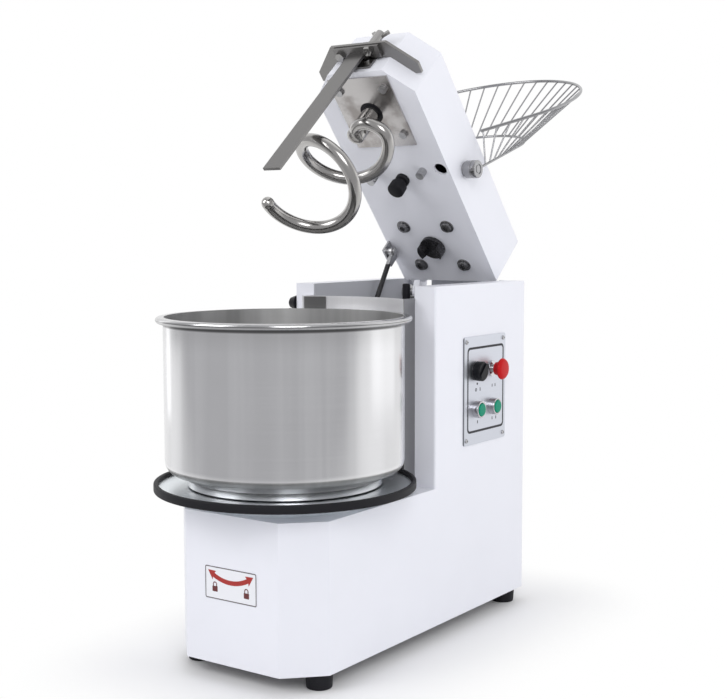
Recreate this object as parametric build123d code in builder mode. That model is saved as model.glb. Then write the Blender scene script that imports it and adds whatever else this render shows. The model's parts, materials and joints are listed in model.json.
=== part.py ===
"""Tilting-head spiral dough mixer with a removable bowl, in millimetres.

+Z is up and the floor is z = 0. -Y is the front, where the bowl stands, and +X is the
side with the control panel. The head is modelled tilted up and its guard folded back.
"""

import math
import os

from build123d import *

# Sheet metal body
sheet = 2.0
bend_radius = 4.0
base_width = 308.0
base_depth = 694.0
base_corner_cut = 57.0
base_top = 273.0
column_from_deck = 7.1
column_top = 628.0
cheek_width = 44.0
floor_thickness = 3.0

# Feet
foot_height = 26.0
foot_top_radius = 23.0
foot_low_radius = 21.0
foot_inset_x = 28.0
foot_inset_front = 66.0
foot_inset_back = 30.0
foot_bolt_radius = 5.0

# Fits
fit_gap = 0.2
run_gap = 0.05
screw_gap = 0.3
touch_gap = 0.3

# Bowl, turntable and deck
bowl_from_front = 142.0
bowl_inset = 19.4
bowl_wall = 2.0
bowl_height = 267.0
bowl_dish_height = 12.5
bowl_dish_inset = 35.0
bowl_seam_inset = 8.0
bowl_seam_step = 4.0
bowl_corner_height = 18.0
rim_reach = 12.4
rim_bead_radius = 5.0
deck_gap = 24.0
deck_radius = 219.4
deck_plate_thickness = 4.0
trim_height = 14.0
trim_width = 8.0
trim_lip = 3.0
deck_support_radius = 130.0
deck_support_wall = 4.0
turntable_inset = 37.0
turntable_clearance = 2.5
turntable_floor = 3.0
turntable_height = 11.5
turntable_rim = 4.0
foot_ring_inset = 10.0
foot_ring_wall = 4.0
bayonet_count = 3
bayonet_angle = 16.0
bayonet_turn = 20.0
bayonet_reach = 3.0
bayonet_thickness = 3.0

# Bowl spindle
spindle_radius = 17.5
spindle_bottom = 186.0
spindle_housing_radius = 40.0
spindle_bearing_radius = 31.0
spindle_housing_length = 66.0
spindle_flange_radius = 62.0
spindle_flange_height = 6.0
bearing_width = 15.0

# Chain drives
chain_pitch = 15.875
roller_radius = 5.1
chain_plate_height = 7.0
chain_plate_thickness = 1.6
sprocket_width = 6.0
main_teeth = 10
bowl_teeth = 48
head_teeth = 14
bowl_chain_z = 195.0

# Head
head_side_gap = 3.6
head_length = 497.0
head_thickness = 118.4
head_tip_cut = 48.6
head_edge_radius = 6.0
head_open_angle = 49.1
underside_thickness = 6.0
hinge_inset = 18.3
hinge_drop = 26.8
hinge_behind_head = 23.7
hinge_below_head = 10.9
hinge_shaft_radius = 8.0
hinge_eye_radius = 14.0
hinge_arm_inset = 28.4
hinge_arm_width = 14.0
hinge_pad_width = 36.0
hinge_pad_thickness = 6.0
hinge_pad_top = 40.0
hinge_block_radius = 15.0
hinge_block_width = 11.0

# Kneading spiral
spiral_from_tip = 86.0
spiral_shaft_radius = 15.0
spiral_shank_radius = 16.0
spiral_shank_end = 76.0
spiral_rod_radius = 11.2
spiral_radius = 67.0
spiral_start_angle = 84.0
spiral_turn = 649.0
spiral_start_depth = 66.6
spiral_entry_drop = 0.5
spiral_depth = 277.0
spiral_steps = 36
spiral_entry_share = 0.125
spiral_first_share = 0.02
spiral_plate_width = 128.0
spiral_plate_length = 150.0
spiral_plate_thickness = 3.0
spiral_plate_hole = 22.5
spiral_pin_radius = 4.0
spiral_pin_length = 40.0
spiral_pin_depth = 58.0
spiral_shaft_end = 8.0
plate_screw_x = 47.0
plate_screw_l = 49.5
plate_screw_radius = 4.0
plate_screw_head = 7.5
plate_screw_head_height = 5.0
housing_radius = 42.0
housing_length = 62.0
housing_bore = 31.0
housing_flange = 20.0
housing_corner = 10.0
bolt_cover = 3.0
head_chain_height = 84.0

# Coupling between head and column
coupling_from_rear = 92.0
coupling_shaft_radius = 12.5
coupling_radius = 25.0
coupling_core = 10.0
coupling_hub = 8.0
coupling_dog = 14.0
coupling_dog_angle = 68.0
coupling_stand_off = 2.0
coupling_axial_gap = 2.0
bolt_spread = 49.0
bolt_radius = 6.0
bolt_head_radius = 12.0
bolt_head_height = 8.0
bolt_length = 22.0
bolt_socket_radius = 5.5
bolt_socket_depth = 4.0

# Other fittings under the head
bumper_set_back = 67.9
bumper_flange_radius = 13.0
bumper_flange_height = 6.0
bumper_neck_radius = 10.0
bumper_radius = 16.0
bumper_height = 37.0
bumper_neck_height = 15.0
stud_x = 51.0
stud_set_back = 50.5
stud_radius = 8.0
stud_length = 30.0
plain_stud_length = 16.0
stud_hole_radius = 5.5
probe_inset = 17.4
probe_set_back = 48.5
probe_hole_radius = 13.0
probe_radius = 7.0
probe_top = 20.0
probe_block_width = 20.0
probe_block_shift = 9.0
probe_block_depth = 24.0
probe_block_height = 30.0

# Breaker bar and its bracket
bracket_reach = 31.0
bracket_height = 41.0
bracket_thickness = 6.0
bracket_overlap = 1.2
bracket_wing_l = 37.0
bracket_tab_width = 60.0
bracket_tab_height = 30.0
bracket_tab_thickness = 4.0
tab_bolt_spread = 36.0
tab_bolt_radius = 3.0
tab_bolt_head = 6.0
tab_bolt_head_height = 4.5
bar_width = 35.0
bar_thickness = 5.0
bar_x = -2.5
bar_depth = 288.0
bar_foot_length = 96.0
bar_foot_thickness = 6.0
bar_foot_depth = 24.0
bar_foot_edge = 1.5
bar_bolt_spread = 36.0
bar_bolt_radius = 5.0
bar_bolt_head = 9.0
bar_bolt_head_height = 6.5
wing_bolt_shift_x = -10.0
wing_bolt_shift_l = 6.0
wing_boss_radius = 8.5
wing_boss_height = 38.0
wing_span = 38.0
wing_low = 24.0
wing_height = 45.0
wing_thickness = 5.0

# Wire guard
guard_pivot_l = 240.0
guard_pivot_n = 45.0
guard_fold_angle = 112.1
guard_ring_radius = 206.0
guard_ring_centre = 266.0
guard_ring_drop = 56.0
guard_arm_gap = 11.6
guard_arm_s = 60.0
guard_inner_arm_gap = 25.6
guard_inner_arm_s = 14.0
guard_ring_wire = 3.0
guard_inner_radius = 118.0
guard_inner_centre = 188.0
guard_inner_rise = 3.2
guard_inner_wire = 2.5
guard_wire_count = 37
guard_wire = 1.6
guard_outer_margin = 0.004
guard_inner_margin = 0.03
guard_boss_radius = 16.5
guard_boss_length = 25.0
guard_boss_start = 4.0
guard_washer_radius = 13.0
guard_pin_radius = 7.0

# Gas spring
strut_inset = 14.4
strut_eye_l = 88.0
strut_eye_n = -14.0
strut_length = 330.0
strut_foot_gap = 61.94
strut_tube_radius = 11.0
strut_tube_wall = 1.5
strut_tube_length = 200.0
strut_rod_radius = 5.0
strut_eye_radius = 10.0
strut_eye_width = 8.0
strut_pin_radius = 4.0
strut_neck = 14.0
strut_gland = 6.0
strut_bracket_thickness = 4.0
strut_slot_radius = 6.0
strut_slot_travel = 11.5
strut_bracket_margin = 10.0
strut_washer_radius = 10.0
strut_washer_thickness = 2.0
strut_anchor_radius = 18.0
strut_anchor_plate = 4.0
strut_side_gap = 0.4

# Column inside
cover_gap = 2.0
cover_sheet = 1.5
cover_top_drop = 21.0
cover_reach = 1.3
upper_plate_thickness = 8.0
motor_plate_z = 322.0
motor_plate_thickness = 8.0
plate_front_gap = 6.0
plate_back_gap = 49.5
main_bearing_radius = 26.0
main_bearing_width = 14.0
main_shaft_bottom = 186.0
belt_room = 16.0
pulley_rim = 6.0
pulley_hub = 4.0
motor_pulley_radius = 28.0
pulley_width = 24.0
pulley_gap = 8.0
belt_thickness = 6.0
belt_width = 18.0
motor_x = 15.0
motor_front_gap = 19.5
motor_shaft_gap = 14.0
motor_side_gap = 29.0
motor_length = 140.0
motor_fins = 20
motor_fin_width = 3.0
motor_fin_height = 4.0
gearbox_inset = 8.0
gearbox_corner = 12.0
gearbox_height = 62.0
motor_shaft_radius = 9.0
fan_cover_height = 26.0

# Head lock on the left side
lock_drop = 37.0
lock_rod_radius = 5.0
lock_travel = 12.0
lock_clear = 3.0
lock_guide_radius = 15.0
lock_guide_end_radius = 10.0
lock_guide_length = 15.0
lock_knob_radius = 6.2
lock_knob_length = 22.0
lock_knob_proud = 5.0

# Control panel
panel_width = 152.0
panel_height = 198.0
panel_thickness = 2.0
panel_from_back = 156.0
panel_z = 434.0
panel_corner = 5.0
panel_screw_inset = 9.0
panel_screw_radius = 2.0
panel_screw_head = 4.0
panel_screw_head_height = 2.0
control_left = -32.5
control_right = 25.5
control_up = 35.5
control_down = -35.0
control_hole = 11.0
tube_wall = 3.5
collar_radius = 15.0
collar_height = 3.0
bezel_radius = 15.5
bezel_height = 13.0
selector_radius = 18.0
selector_height = 13.0
selector_grip_width = 12.0
selector_grip_height = 5.0
selector_angle = 45.0
stop_radius = 20.0
stop_neck_radius = 12.0
stop_neck_taper = 12.0
stop_neck_length = 11.0
stop_cap_height = 14.0
stop_travel = 6.0
button_radius = 12.0
button_floor = 3.0
button_proud = 1.5
button_travel = 4.0
stem_radius = 7.2
contact_size = 28.0
contact_depth = 16.0
contact_set_back = 20.0

# Small outside pieces
label_width = 108.0
label_height = 54.0
label_thickness = 1.0
label_z = 160.0
rear_cover_side = 29.0
rear_cover_height = 470.0
rear_cover_z = 330.0
rear_cover_thickness = 1.5
rear_cover_lap = 14.0
vent_count = 9
vent_pitch = 16.0
vent_length = 120.0
vent_height = 6.0
gland_radius = 13.0
gland_hole = 5.0
gland_length = 24.0
gland_inset = 44.0
gland_z = 70.0

# Sizes that follow from the ones above
half_width = base_width / 2
well_half = half_width - cheek_width
column_depth = base_depth - bowl_from_front - deck_radius - column_from_deck
rear_cover_width = base_width - 2 * rear_cover_side
gland_x = half_width - gland_inset
bowl_radius = deck_radius - bowl_inset
bowl_dish_radius = bowl_radius - bowl_dish_inset
bowl_seam_radius = bowl_radius - bowl_seam_inset
turntable_radius = bowl_radius - turntable_inset
foot_ring_radius = turntable_radius - foot_ring_inset
head_width = 2 * (well_half - head_side_gap)
hinge_arm_x = head_width / 2 - hinge_arm_inset
spiral_from_rear = head_length - spiral_from_tip
bumper_from_rear = column_depth - bumper_set_back
stud_from_rear = column_depth - stud_set_back
probe_x = head_width / 2 - probe_inset
probe_from_rear = column_depth - probe_set_back
bracket_half_front = head_width / 2 - head_tip_cut + bracket_overlap
guard_arm_x = head_width / 2 + guard_arm_gap
guard_inner_arm_x = head_width / 2 + guard_inner_arm_gap
strut_x = strut_inset - head_width / 2
plate_depth = column_depth - plate_front_gap - plate_back_gap
shaft_from_front = column_depth - hinge_inset - hinge_behind_head - coupling_from_rear
motor_room_deep = (shaft_from_front - motor_front_gap - main_bearing_radius - motor_shaft_gap) / 2
motor_room_wide = well_half - motor_x - motor_side_gap
motor_radius = min(motor_room_deep, motor_room_wide)
motor_forward = main_bearing_radius + motor_shaft_gap + motor_radius
gearbox_size = 2 * motor_radius - gearbox_inset
main_pulley_radius = motor_forward - motor_pulley_radius - belt_room

# Directions of the tilted head: towards its tip (l) and out of its top (n)
tilt = math.radians(head_open_angle)
tilt_cos = math.cos(tilt)
tilt_sin = math.sin(tilt)
fold = math.radians(head_open_angle + guard_fold_angle)

# The origin lies under the middle of the whole part, between deck and folded guard
hinge_back_shift = base_depth / 2 - hinge_inset
head_back_shift = hinge_back_shift - hinge_behind_head * tilt_cos + hinge_below_head * tilt_sin
pivot_back_shift = head_back_shift - guard_pivot_l * tilt_cos + guard_pivot_n * tilt_sin
guard_reach = guard_ring_centre + guard_ring_radius
guard_back = pivot_back_shift - guard_reach * math.cos(fold) - guard_ring_drop * math.sin(fold)
deck_front = -base_depth / 2 + bowl_from_front - deck_radius
base_y = -(deck_front + guard_back + guard_ring_wire) / 2

# Places along the machine
base_front_y = base_y - base_depth / 2
base_back_y = base_y + base_depth / 2
column_front_y = base_back_y - column_depth
column_mid_y = base_back_y - column_depth / 2
bowl_y = base_front_y + bowl_from_front
hinge_y = base_back_y - hinge_inset
hinge_z = column_top - hinge_drop
head_y = base_y + head_back_shift
head_z = hinge_z + hinge_behind_head * tilt_sin + hinge_below_head * tilt_cos
low_head_y = hinge_y - hinge_behind_head
low_head_z = hinge_z + hinge_below_head
shaft_y = low_head_y - coupling_from_rear
lock_y = low_head_y - stud_from_rear
lock_z = column_top - lock_drop
deck_z = base_top + deck_gap
deck_plate_z = deck_z + trim_lip
deck_plate_top = deck_plate_z + deck_plate_thickness
turntable_z = deck_plate_top + turntable_clearance
bowl_z = turntable_z + turntable_height + fit_gap
rim_z = bowl_z + bowl_height
upper_plate_top = low_head_z - bumper_height - touch_gap
panel_y = base_back_y - panel_from_back

head_plane = Plane(origin=(0, head_y, head_z), x_dir=(1, 0, 0), z_dir=(0, tilt_sin, tilt_cos))
pivot_point = head_plane.from_local_coords((0, -guard_pivot_l, guard_pivot_n))
guard_plane = Plane(origin=pivot_point, x_dir=(1, 0, 0), z_dir=(0, math.sin(fold), math.cos(fold)))
inner_fold = fold + math.radians(guard_inner_rise)
guard_inner_plane = Plane(
    origin=pivot_point, x_dir=(1, 0, 0), z_dir=(0, math.sin(inner_fold), math.cos(inner_fold))
)
bowl_section = Plane.XZ.offset(-bowl_y)
bowl_axis = Axis((0, bowl_y, 0), (0, 0, 1))
side_plane = Plane.YZ.offset(half_width)
STANDING = (Align.CENTER, Align.CENTER, Align.MIN)
HANGING = (Align.CENTER, Align.CENTER, Align.MAX)


def save(builder, label):
    """Label a finished piece and write it as its own STEP file."""
    builder.part.label = label
    export_step(builder.part, f"parts/{label}.step")


def pitch_radius(teeth):
    """Pitch radius of a chain wheel."""
    return chain_pitch / 2 / math.sin(math.pi / teeth)


def base_outline(inset):
    """The plan of the base with its two cut front corners, inside a sketch."""
    with BuildSketch(Plane.XY) as outline:
        with Locations((0, base_y)):
            Rectangle(base_width - 2 * inset, base_depth - 2 * inset)
        front = outline.vertices().group_by(Axis.Y)[0]
        chamfer(front, base_corner_cut - 0.586 * inset)
    return outline.sketch


def head_outline(inset):
    """The plan of the head with its two cut tip corners, in the head's own plane."""
    with BuildSketch(Plane.XY) as outline:
        with Locations((0, -head_length / 2)):
            Rectangle(head_width - 2 * inset, head_length - 2 * inset)
        tip = outline.vertices().group_by(Axis.Y)[0]
        chamfer(tip, head_tip_cut - 0.586 * inset)
    return outline.sketch


def toothed_wheel(teeth, hub_radius, hub_height, bore):
    """A chain wheel on its bore, standing on the plane of its lower face."""
    radius = pitch_radius(teeth)
    with BuildPart() as wheel:
        with BuildSketch():
            Circle(radius + roller_radius * 0.7)
            with PolarLocations(radius, teeth):
                Circle(roller_radius, mode=Mode.SUBTRACT)
        extrude(amount=sprocket_width)
        with Locations((0, 0, sprocket_width)):
            Cylinder(hub_radius, hub_height, align=STANDING)
        Cylinder(bore, 4 * (hub_height + sprocket_width), mode=Mode.SUBTRACT)
    return wheel.part


def wedges(count, angle, start, reach):
    """A fan of equal wedges around the origin, for cutting lugs and dogs out of rings."""
    half = reach * math.tan(math.radians(angle / 2))
    with BuildSketch() as fan:
        with PolarLocations(0, count, start_angle=start):
            Polygon((0, 0), (reach, -half), (reach, half), align=None)
    return fan.sketch


def loop_band(first, first_radius, second, second_radius, grow, height):
    """A closed band around two wheels, grown outwards, as a solid of one height."""
    with BuildSketch() as band:
        with Locations(first):
            Circle(first_radius + grow)
        with Locations(second):
            Circle(second_radius + grow)
        make_hull(band.edges())
    return extrude(band.sketch, amount=height, mode=Mode.PRIVATE)


def tangent_point(point, centre, radius):
    """Where the line from a point outside a circle touches it, on the outer side."""
    away_x = point[0]
    away_y = point[1] - centre
    reach = math.hypot(away_x, away_y)
    turn = math.atan2(away_y, away_x) - math.copysign(math.acos(radius / reach), -away_x)
    return (radius * math.cos(turn), centre + radius * math.sin(turn))


os.makedirs("parts", exist_ok=True)

# Painted body: base, two hollow cheeks and the back wall, folded from one sheet
with BuildPart() as body_shell:
    outside = Plane.XY.offset(foot_height) * base_outline(0)
    extrude(outside, amount=base_top - foot_height)
    with BuildSketch(Plane.XY.offset(base_top)):
        with Locations((0, column_mid_y)):
            Rectangle(base_width, column_depth)
    extrude(amount=column_top - base_top)
    fillet(body_shell.edges().filter_by(Axis.Z), bend_radius)
    inside = Plane.XY.offset(foot_height) * base_outline(sheet)
    extrude(inside, amount=base_top - sheet - foot_height, mode=Mode.SUBTRACT)
    with BuildSketch(Plane.XY.offset(base_top - sheet)):
        with Locations((0, column_mid_y)):
            with GridLocations(base_width - cheek_width, 1, 2, 1):
                Rectangle(cheek_width - 2 * sheet, column_depth - 2 * sheet)
    extrude(amount=column_top - base_top, mode=Mode.SUBTRACT)
    with BuildSketch(Plane.XY.offset(base_top - sheet)):
        with Locations((0, column_front_y - sheet)):
            Rectangle(2 * well_half, column_depth, align=(Align.CENTER, Align.MIN))
    extrude(amount=column_top, mode=Mode.SUBTRACT)
    # passage for the bowl spindle
    with Locations((0, bowl_y, base_top)):
        Cylinder(spindle_housing_radius, 4 * sheet, mode=Mode.SUBTRACT)
    # opening behind the control panel
    with BuildSketch(side_plane.offset(-sheet)):
        with Locations((panel_y, panel_z)):
            Rectangle(panel_width - 3.2 * panel_screw_inset, panel_height - 3.2 * panel_screw_inset)
    extrude(amount=2 * sheet, mode=Mode.SUBTRACT)
    # panel screw holes
    with BuildSketch(side_plane.offset(-sheet)):
        with Locations((panel_y, panel_z)):
            with GridLocations(panel_width - 2 * panel_screw_inset, panel_height - 2 * panel_screw_inset, 2, 2):
                Circle(panel_screw_radius + screw_gap)
    extrude(amount=2 * sheet, mode=Mode.SUBTRACT)
    # opening behind the rear cover, and its screw holes
    with BuildSketch(Plane.XZ.offset(-base_back_y - sheet)):
        with Locations((0, rear_cover_z)):
            Rectangle(rear_cover_width - 2 * rear_cover_lap, rear_cover_height - 2 * rear_cover_lap)
            with GridLocations(rear_cover_width - rear_cover_lap, rear_cover_height - rear_cover_lap, 2, 2):
                Circle(panel_screw_radius + screw_gap)
        with Locations((gland_x, gland_z)):
            Circle(gland_radius * 0.7 + screw_gap)
    extrude(amount=3 * sheet, mode=Mode.SUBTRACT)
    # relief for the hinge arms in the back wall
    with BuildSketch(Plane.XZ.offset(-base_back_y - sheet)):
        with Locations((-hinge_arm_x, column_top), (hinge_arm_x, column_top)):
            Rectangle(hinge_pad_width + 4, 2 * (hinge_drop + hinge_eye_radius), align=Align.CENTER)
    extrude(amount=3 * sheet, mode=Mode.SUBTRACT)
    # hinge shaft through the inner cheek walls
    with BuildSketch(Plane.YZ.offset(-half_width + 2 * sheet)):
        with Locations((hinge_y, hinge_z)):
            Circle(hinge_shaft_radius + run_gap)
    extrude(amount=base_width - 4 * sheet, mode=Mode.SUBTRACT)
    # lock rod through the left cheek
    with BuildSketch(Plane.YZ.offset(-half_width - sheet)):
        with Locations((lock_y, lock_z)):
            Circle(lock_rod_radius + run_gap)
    extrude(amount=cheek_width + 2 * sheet, mode=Mode.SUBTRACT)
    # and its knob through the outer wall alone
    with BuildSketch(Plane.YZ.offset(-half_width - sheet)):
        with Locations((lock_y, lock_z)):
            Circle(lock_knob_radius + run_gap)
    extrude(amount=3 * sheet, mode=Mode.SUBTRACT)
save(body_shell, "body_shell")

# Floor plate inside the foot of the body, with the foot bolts' holes
foot_spots = [
    (side * (half_width - foot_inset_x), end)
    for side in (-1, 1)
    for end in (base_front_y + foot_inset_front, base_back_y - foot_inset_back)
]
with BuildPart() as floor_plate:
    extrude(Plane.XY.offset(foot_height) * base_outline(sheet + fit_gap), amount=floor_thickness)
    with Locations(*[(x, y, foot_height) for x, y in foot_spots]):
        Cylinder(foot_bolt_radius + screw_gap, 3 * floor_thickness, mode=Mode.SUBTRACT)
save(floor_plate, "floor_plate")

with BuildPart() as rubber_feet:
    with Locations(*[(x, y, 0) for x, y in foot_spots]):
        Cone(foot_low_radius, foot_top_radius, foot_height, align=STANDING)
    with Locations(*[(x, y, foot_height) for x, y in foot_spots]):
        Cylinder(foot_bolt_radius + screw_gap, foot_height, mode=Mode.SUBTRACT)
    fillet(rubber_feet.faces().filter_by(Axis.Z).group_by(Axis.Z)[0].edges(), 2)
save(rubber_feet, "rubber_feet")

# Rear cover with vent slots, its screws and the mains gland
with BuildPart() as rear_cover:
    with BuildSketch(Plane.XZ.offset(-base_back_y)):
        with Locations((0, rear_cover_z)):
            RectangleRounded(rear_cover_width, rear_cover_height, bend_radius)
            with GridLocations(rear_cover_width - rear_cover_lap, rear_cover_height - rear_cover_lap, 2, 2):
                Circle(panel_screw_radius + screw_gap, mode=Mode.SUBTRACT)
            with GridLocations(1, vent_pitch, 1, vent_count):
                SlotOverall(vent_length, vent_height, mode=Mode.SUBTRACT)
    extrude(amount=-rear_cover_thickness)
save(rear_cover, "rear_cover")

with BuildPart() as cable_gland:
    with BuildSketch(Plane.XZ.offset(-base_back_y)):
        with Locations((gland_x, gland_z)):
            RegularPolygon(gland_radius, 6)
    extrude(amount=-gland_length * 0.4)
    with BuildSketch(Plane.XZ.offset(-base_back_y - gland_length * 0.4)):
        with Locations((gland_x, gland_z)):
            Circle(gland_radius * 0.8)
    extrude(amount=-gland_length * 0.6, taper=10)
    with BuildSketch(Plane.XZ.offset(-base_back_y)):
        with Locations((gland_x, gland_z)):
            Circle(gland_radius * 0.7)
    extrude(amount=gland_length * 0.6)
    with BuildSketch(Plane.XZ.offset(-base_back_y - 2 * gland_length)):
        with Locations((gland_x, gland_z)):
            Circle(gland_hole)
    extrude(amount=4 * gland_length, mode=Mode.SUBTRACT)
save(cable_gland, "cable_gland")

# Concave stainless cover between the bowl and the column
cover_radius = deck_radius + cover_gap
cover_half = well_half + cover_reach
cover_edge_y = bowl_y + math.sqrt(cover_radius**2 - cover_half**2)
cover_top = column_top - cover_top_drop
with BuildPart() as front_cover:
    with BuildSketch(Plane.XY.offset(base_top)):
        with Locations((0, bowl_y)):
            Circle(cover_radius + cover_sheet)
            Circle(cover_radius, mode=Mode.SUBTRACT)
        with Locations((0, bowl_y)):
            Rectangle(
                2 * cover_half, 2 * cover_radius, align=(Align.CENTER, Align.MIN), mode=Mode.INTERSECT
            )
        with GridLocations(2 * cover_half - cover_sheet, 1, 2, 1):
            with Locations((0, cover_edge_y)):
                Rectangle(cover_sheet, column_front_y - cover_edge_y, align=(Align.CENTER, Align.MIN))
    extrude(amount=cover_top - base_top)
    corners = front_cover.edges().filter_by(Axis.Y).group_by(Axis.Z)[-1]
    chamfer(corners.sort_by(Axis.X)[0], cover_sheet * 0.4)
    chamfer(front_cover.edges().filter_by(Axis.Y).group_by(Axis.Z)[-1].sort_by(Axis.X)[-1], cover_sheet * 0.4)
save(front_cover, "front_cover")

# Round deck under the bowl with its rubber edge
with BuildPart() as deck_plate:
    with Locations((0, bowl_y, deck_plate_z)):
        Cylinder(deck_radius - trim_width / 2, deck_plate_thickness, align=STANDING)
        Cylinder(spindle_bearing_radius, 4 * deck_plate_thickness, mode=Mode.SUBTRACT)
    with BuildSketch(Plane.XY.offset(base_top)):
        with Locations((0, bowl_y)):
            Circle(deck_support_radius)
            Circle(deck_support_radius - deck_support_wall, mode=Mode.SUBTRACT)
    extrude(amount=deck_plate_z - base_top)
save(deck_plate, "deck_plate")

with BuildPart() as deck_edge_trim:
    with Locations((0, bowl_y, deck_z)):
        Cylinder(deck_radius, trim_height, align=STANDING)
        Cylinder(deck_radius - trim_width, 3 * trim_height, mode=Mode.SUBTRACT)
    fillet(deck_edge_trim.edges().filter_by(GeomType.CIRCLE), trim_lip * 0.8)
    with Locations((0, bowl_y, deck_plate_z)):
        Cylinder(
            deck_radius - trim_width / 2 + fit_gap,
            deck_plate_thickness,
            align=STANDING,
            mode=Mode.SUBTRACT,
        )
save(deck_edge_trim, "deck_edge_trim")

# Spindle that carries the turntable, its housing and two bearings
housing_top = base_top - sheet
housing_low = housing_top - spindle_housing_length
with BuildPart() as spindle_housing:
    with Locations((0, bowl_y, housing_top)):
        Cylinder(spindle_flange_radius, spindle_flange_height, align=HANGING)
        Cylinder(spindle_housing_radius, spindle_housing_length, align=HANGING)
        Cylinder(spindle_bearing_radius, 3 * spindle_housing_length, mode=Mode.SUBTRACT)
save(spindle_housing, "spindle_housing")

with BuildPart() as bowl_spindle:
    with Locations((0, bowl_y, spindle_bottom)):
        Cylinder(spindle_radius, turntable_z - spindle_bottom, align=STANDING)
    with Locations((0, bowl_y, turntable_z)):
        Cylinder(spindle_bearing_radius - 3 * turntable_floor, turntable_clearance, align=HANGING)
    with Locations((0, bowl_y, bowl_chain_z)):
        add(toothed_wheel(bowl_teeth, 2 * spindle_radius, touch_gap * 8, spindle_radius))
    with Locations((0, bowl_y, bowl_chain_z)):
        with PolarLocations(pitch_radius(bowl_teeth) * 0.62, 6):
            Cylinder(pitch_radius(bowl_teeth) * 0.2, 4 * sprocket_width, mode=Mode.SUBTRACT)
save(bowl_spindle, "bowl_spindle")

with BuildPart() as turntable:
    lug_radius = turntable_radius - turntable_rim
    with Locations((0, bowl_y, turntable_z)):
        Cylinder(turntable_radius, turntable_height, align=STANDING)
    with Locations((0, bowl_y, turntable_z + turntable_floor)):
        Cylinder(lug_radius, turntable_height, align=STANDING, mode=Mode.SUBTRACT)
    with BuildSketch(Plane.XY.offset(turntable_z + turntable_height - bayonet_thickness)):
        with Locations((0, bowl_y)):
            Circle(lug_radius + turntable_rim / 2)
            Circle(lug_radius - bayonet_reach, mode=Mode.SUBTRACT)
        add(Pos(0, bowl_y) * wedges(bayonet_count, bayonet_angle, bayonet_turn, 2 * lug_radius), mode=Mode.INTERSECT)
    extrude(amount=bayonet_thickness)
save(turntable, "turntable")

# Removable bowl: spun stainless wall, dished bottom and rolled rim
with BuildPart() as bowl:
    seam_z = bowl_z + bowl_dish_height
    corner_z = seam_z + bowl_corner_height
    with BuildSketch(bowl_section):
        with BuildLine():
            Polyline((bowl_radius, corner_z), (bowl_radius, rim_z), (0, rim_z), (0, bowl_z))
            Polyline((0, bowl_z), (bowl_dish_radius, bowl_z), (bowl_seam_radius - bowl_seam_step, seam_z))
            Line((bowl_seam_radius - bowl_seam_step, seam_z), (bowl_seam_radius, seam_z))
            TangentArc((bowl_radius, corner_z), (bowl_seam_radius, seam_z), tangent=(0, -1))
        make_face()
        with Locations((bowl_radius, rim_z)):
            Rectangle(rim_reach - rim_bead_radius, bowl_wall, align=(Align.MIN, Align.MAX))
        with Locations((bowl_radius + rim_reach - rim_bead_radius, rim_z - rim_bead_radius)):
            Circle(rim_bead_radius)
    revolve(axis=bowl_axis)
    with BuildSketch(bowl_section):
        inner_radius = bowl_radius - bowl_wall
        inner_seam = (bowl_seam_radius - 1.4 * bowl_wall, seam_z + 1.4 * bowl_wall)
        with BuildLine():
            Polyline((inner_radius, corner_z), (inner_radius, rim_z + bowl_wall), (0, rim_z + bowl_wall))
            Polyline((0, rim_z + bowl_wall), (0, bowl_z + bowl_wall), (bowl_dish_radius - 1, bowl_z + bowl_wall))
            Line((bowl_dish_radius - 1, bowl_z + bowl_wall), inner_seam)
            TangentArc((inner_radius, corner_z), inner_seam, tangent=(0, -1))
        make_face()
    revolve(axis=bowl_axis, mode=Mode.SUBTRACT)
save(bowl, "bowl")

with BuildPart() as bowl_foot_ring:
    tab_top = turntable_z + turntable_height - bayonet_thickness - touch_gap
    tab_low = turntable_z + turntable_floor + touch_gap
    with Locations((0, bowl_y, tab_low)):
        Cylinder(foot_ring_radius, bowl_z - tab_low, align=STANDING)
        Cylinder(foot_ring_radius - foot_ring_wall, 4 * turntable_height, mode=Mode.SUBTRACT)
    with BuildSketch(Plane.XY.offset(tab_top - bayonet_thickness)):
        with Locations((0, bowl_y)):
            Circle(turntable_radius - turntable_rim - 2 * touch_gap)
            Circle(foot_ring_radius - foot_ring_wall, mode=Mode.SUBTRACT)
        add(Pos(0, bowl_y) * wedges(bayonet_count, bayonet_angle, 0, 2 * bowl_radius), mode=Mode.INTERSECT)
    extrude(amount=bayonet_thickness)
save(bowl_foot_ring, "bowl_foot_ring")

# Chain drive from the main shaft to the bowl spindle
chain_low = bowl_chain_z - chain_plate_thickness - 0.4
chain_high = bowl_chain_z + sprocket_width + 0.4
bowl_wheel = ((0, bowl_y), pitch_radius(bowl_teeth))
main_wheel = ((0, shaft_y), pitch_radius(main_teeth))
with BuildPart() as bowl_chain:
    with Locations((0, 0, chain_low), (0, 0, chain_high)):
        add(loop_band(*bowl_wheel, *main_wheel, chain_plate_height, chain_plate_thickness))
        add(
            loop_band(*bowl_wheel, *main_wheel, -chain_plate_height, chain_plate_thickness),
            mode=Mode.SUBTRACT,
        )
save(bowl_chain, "bowl_chain")

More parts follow.
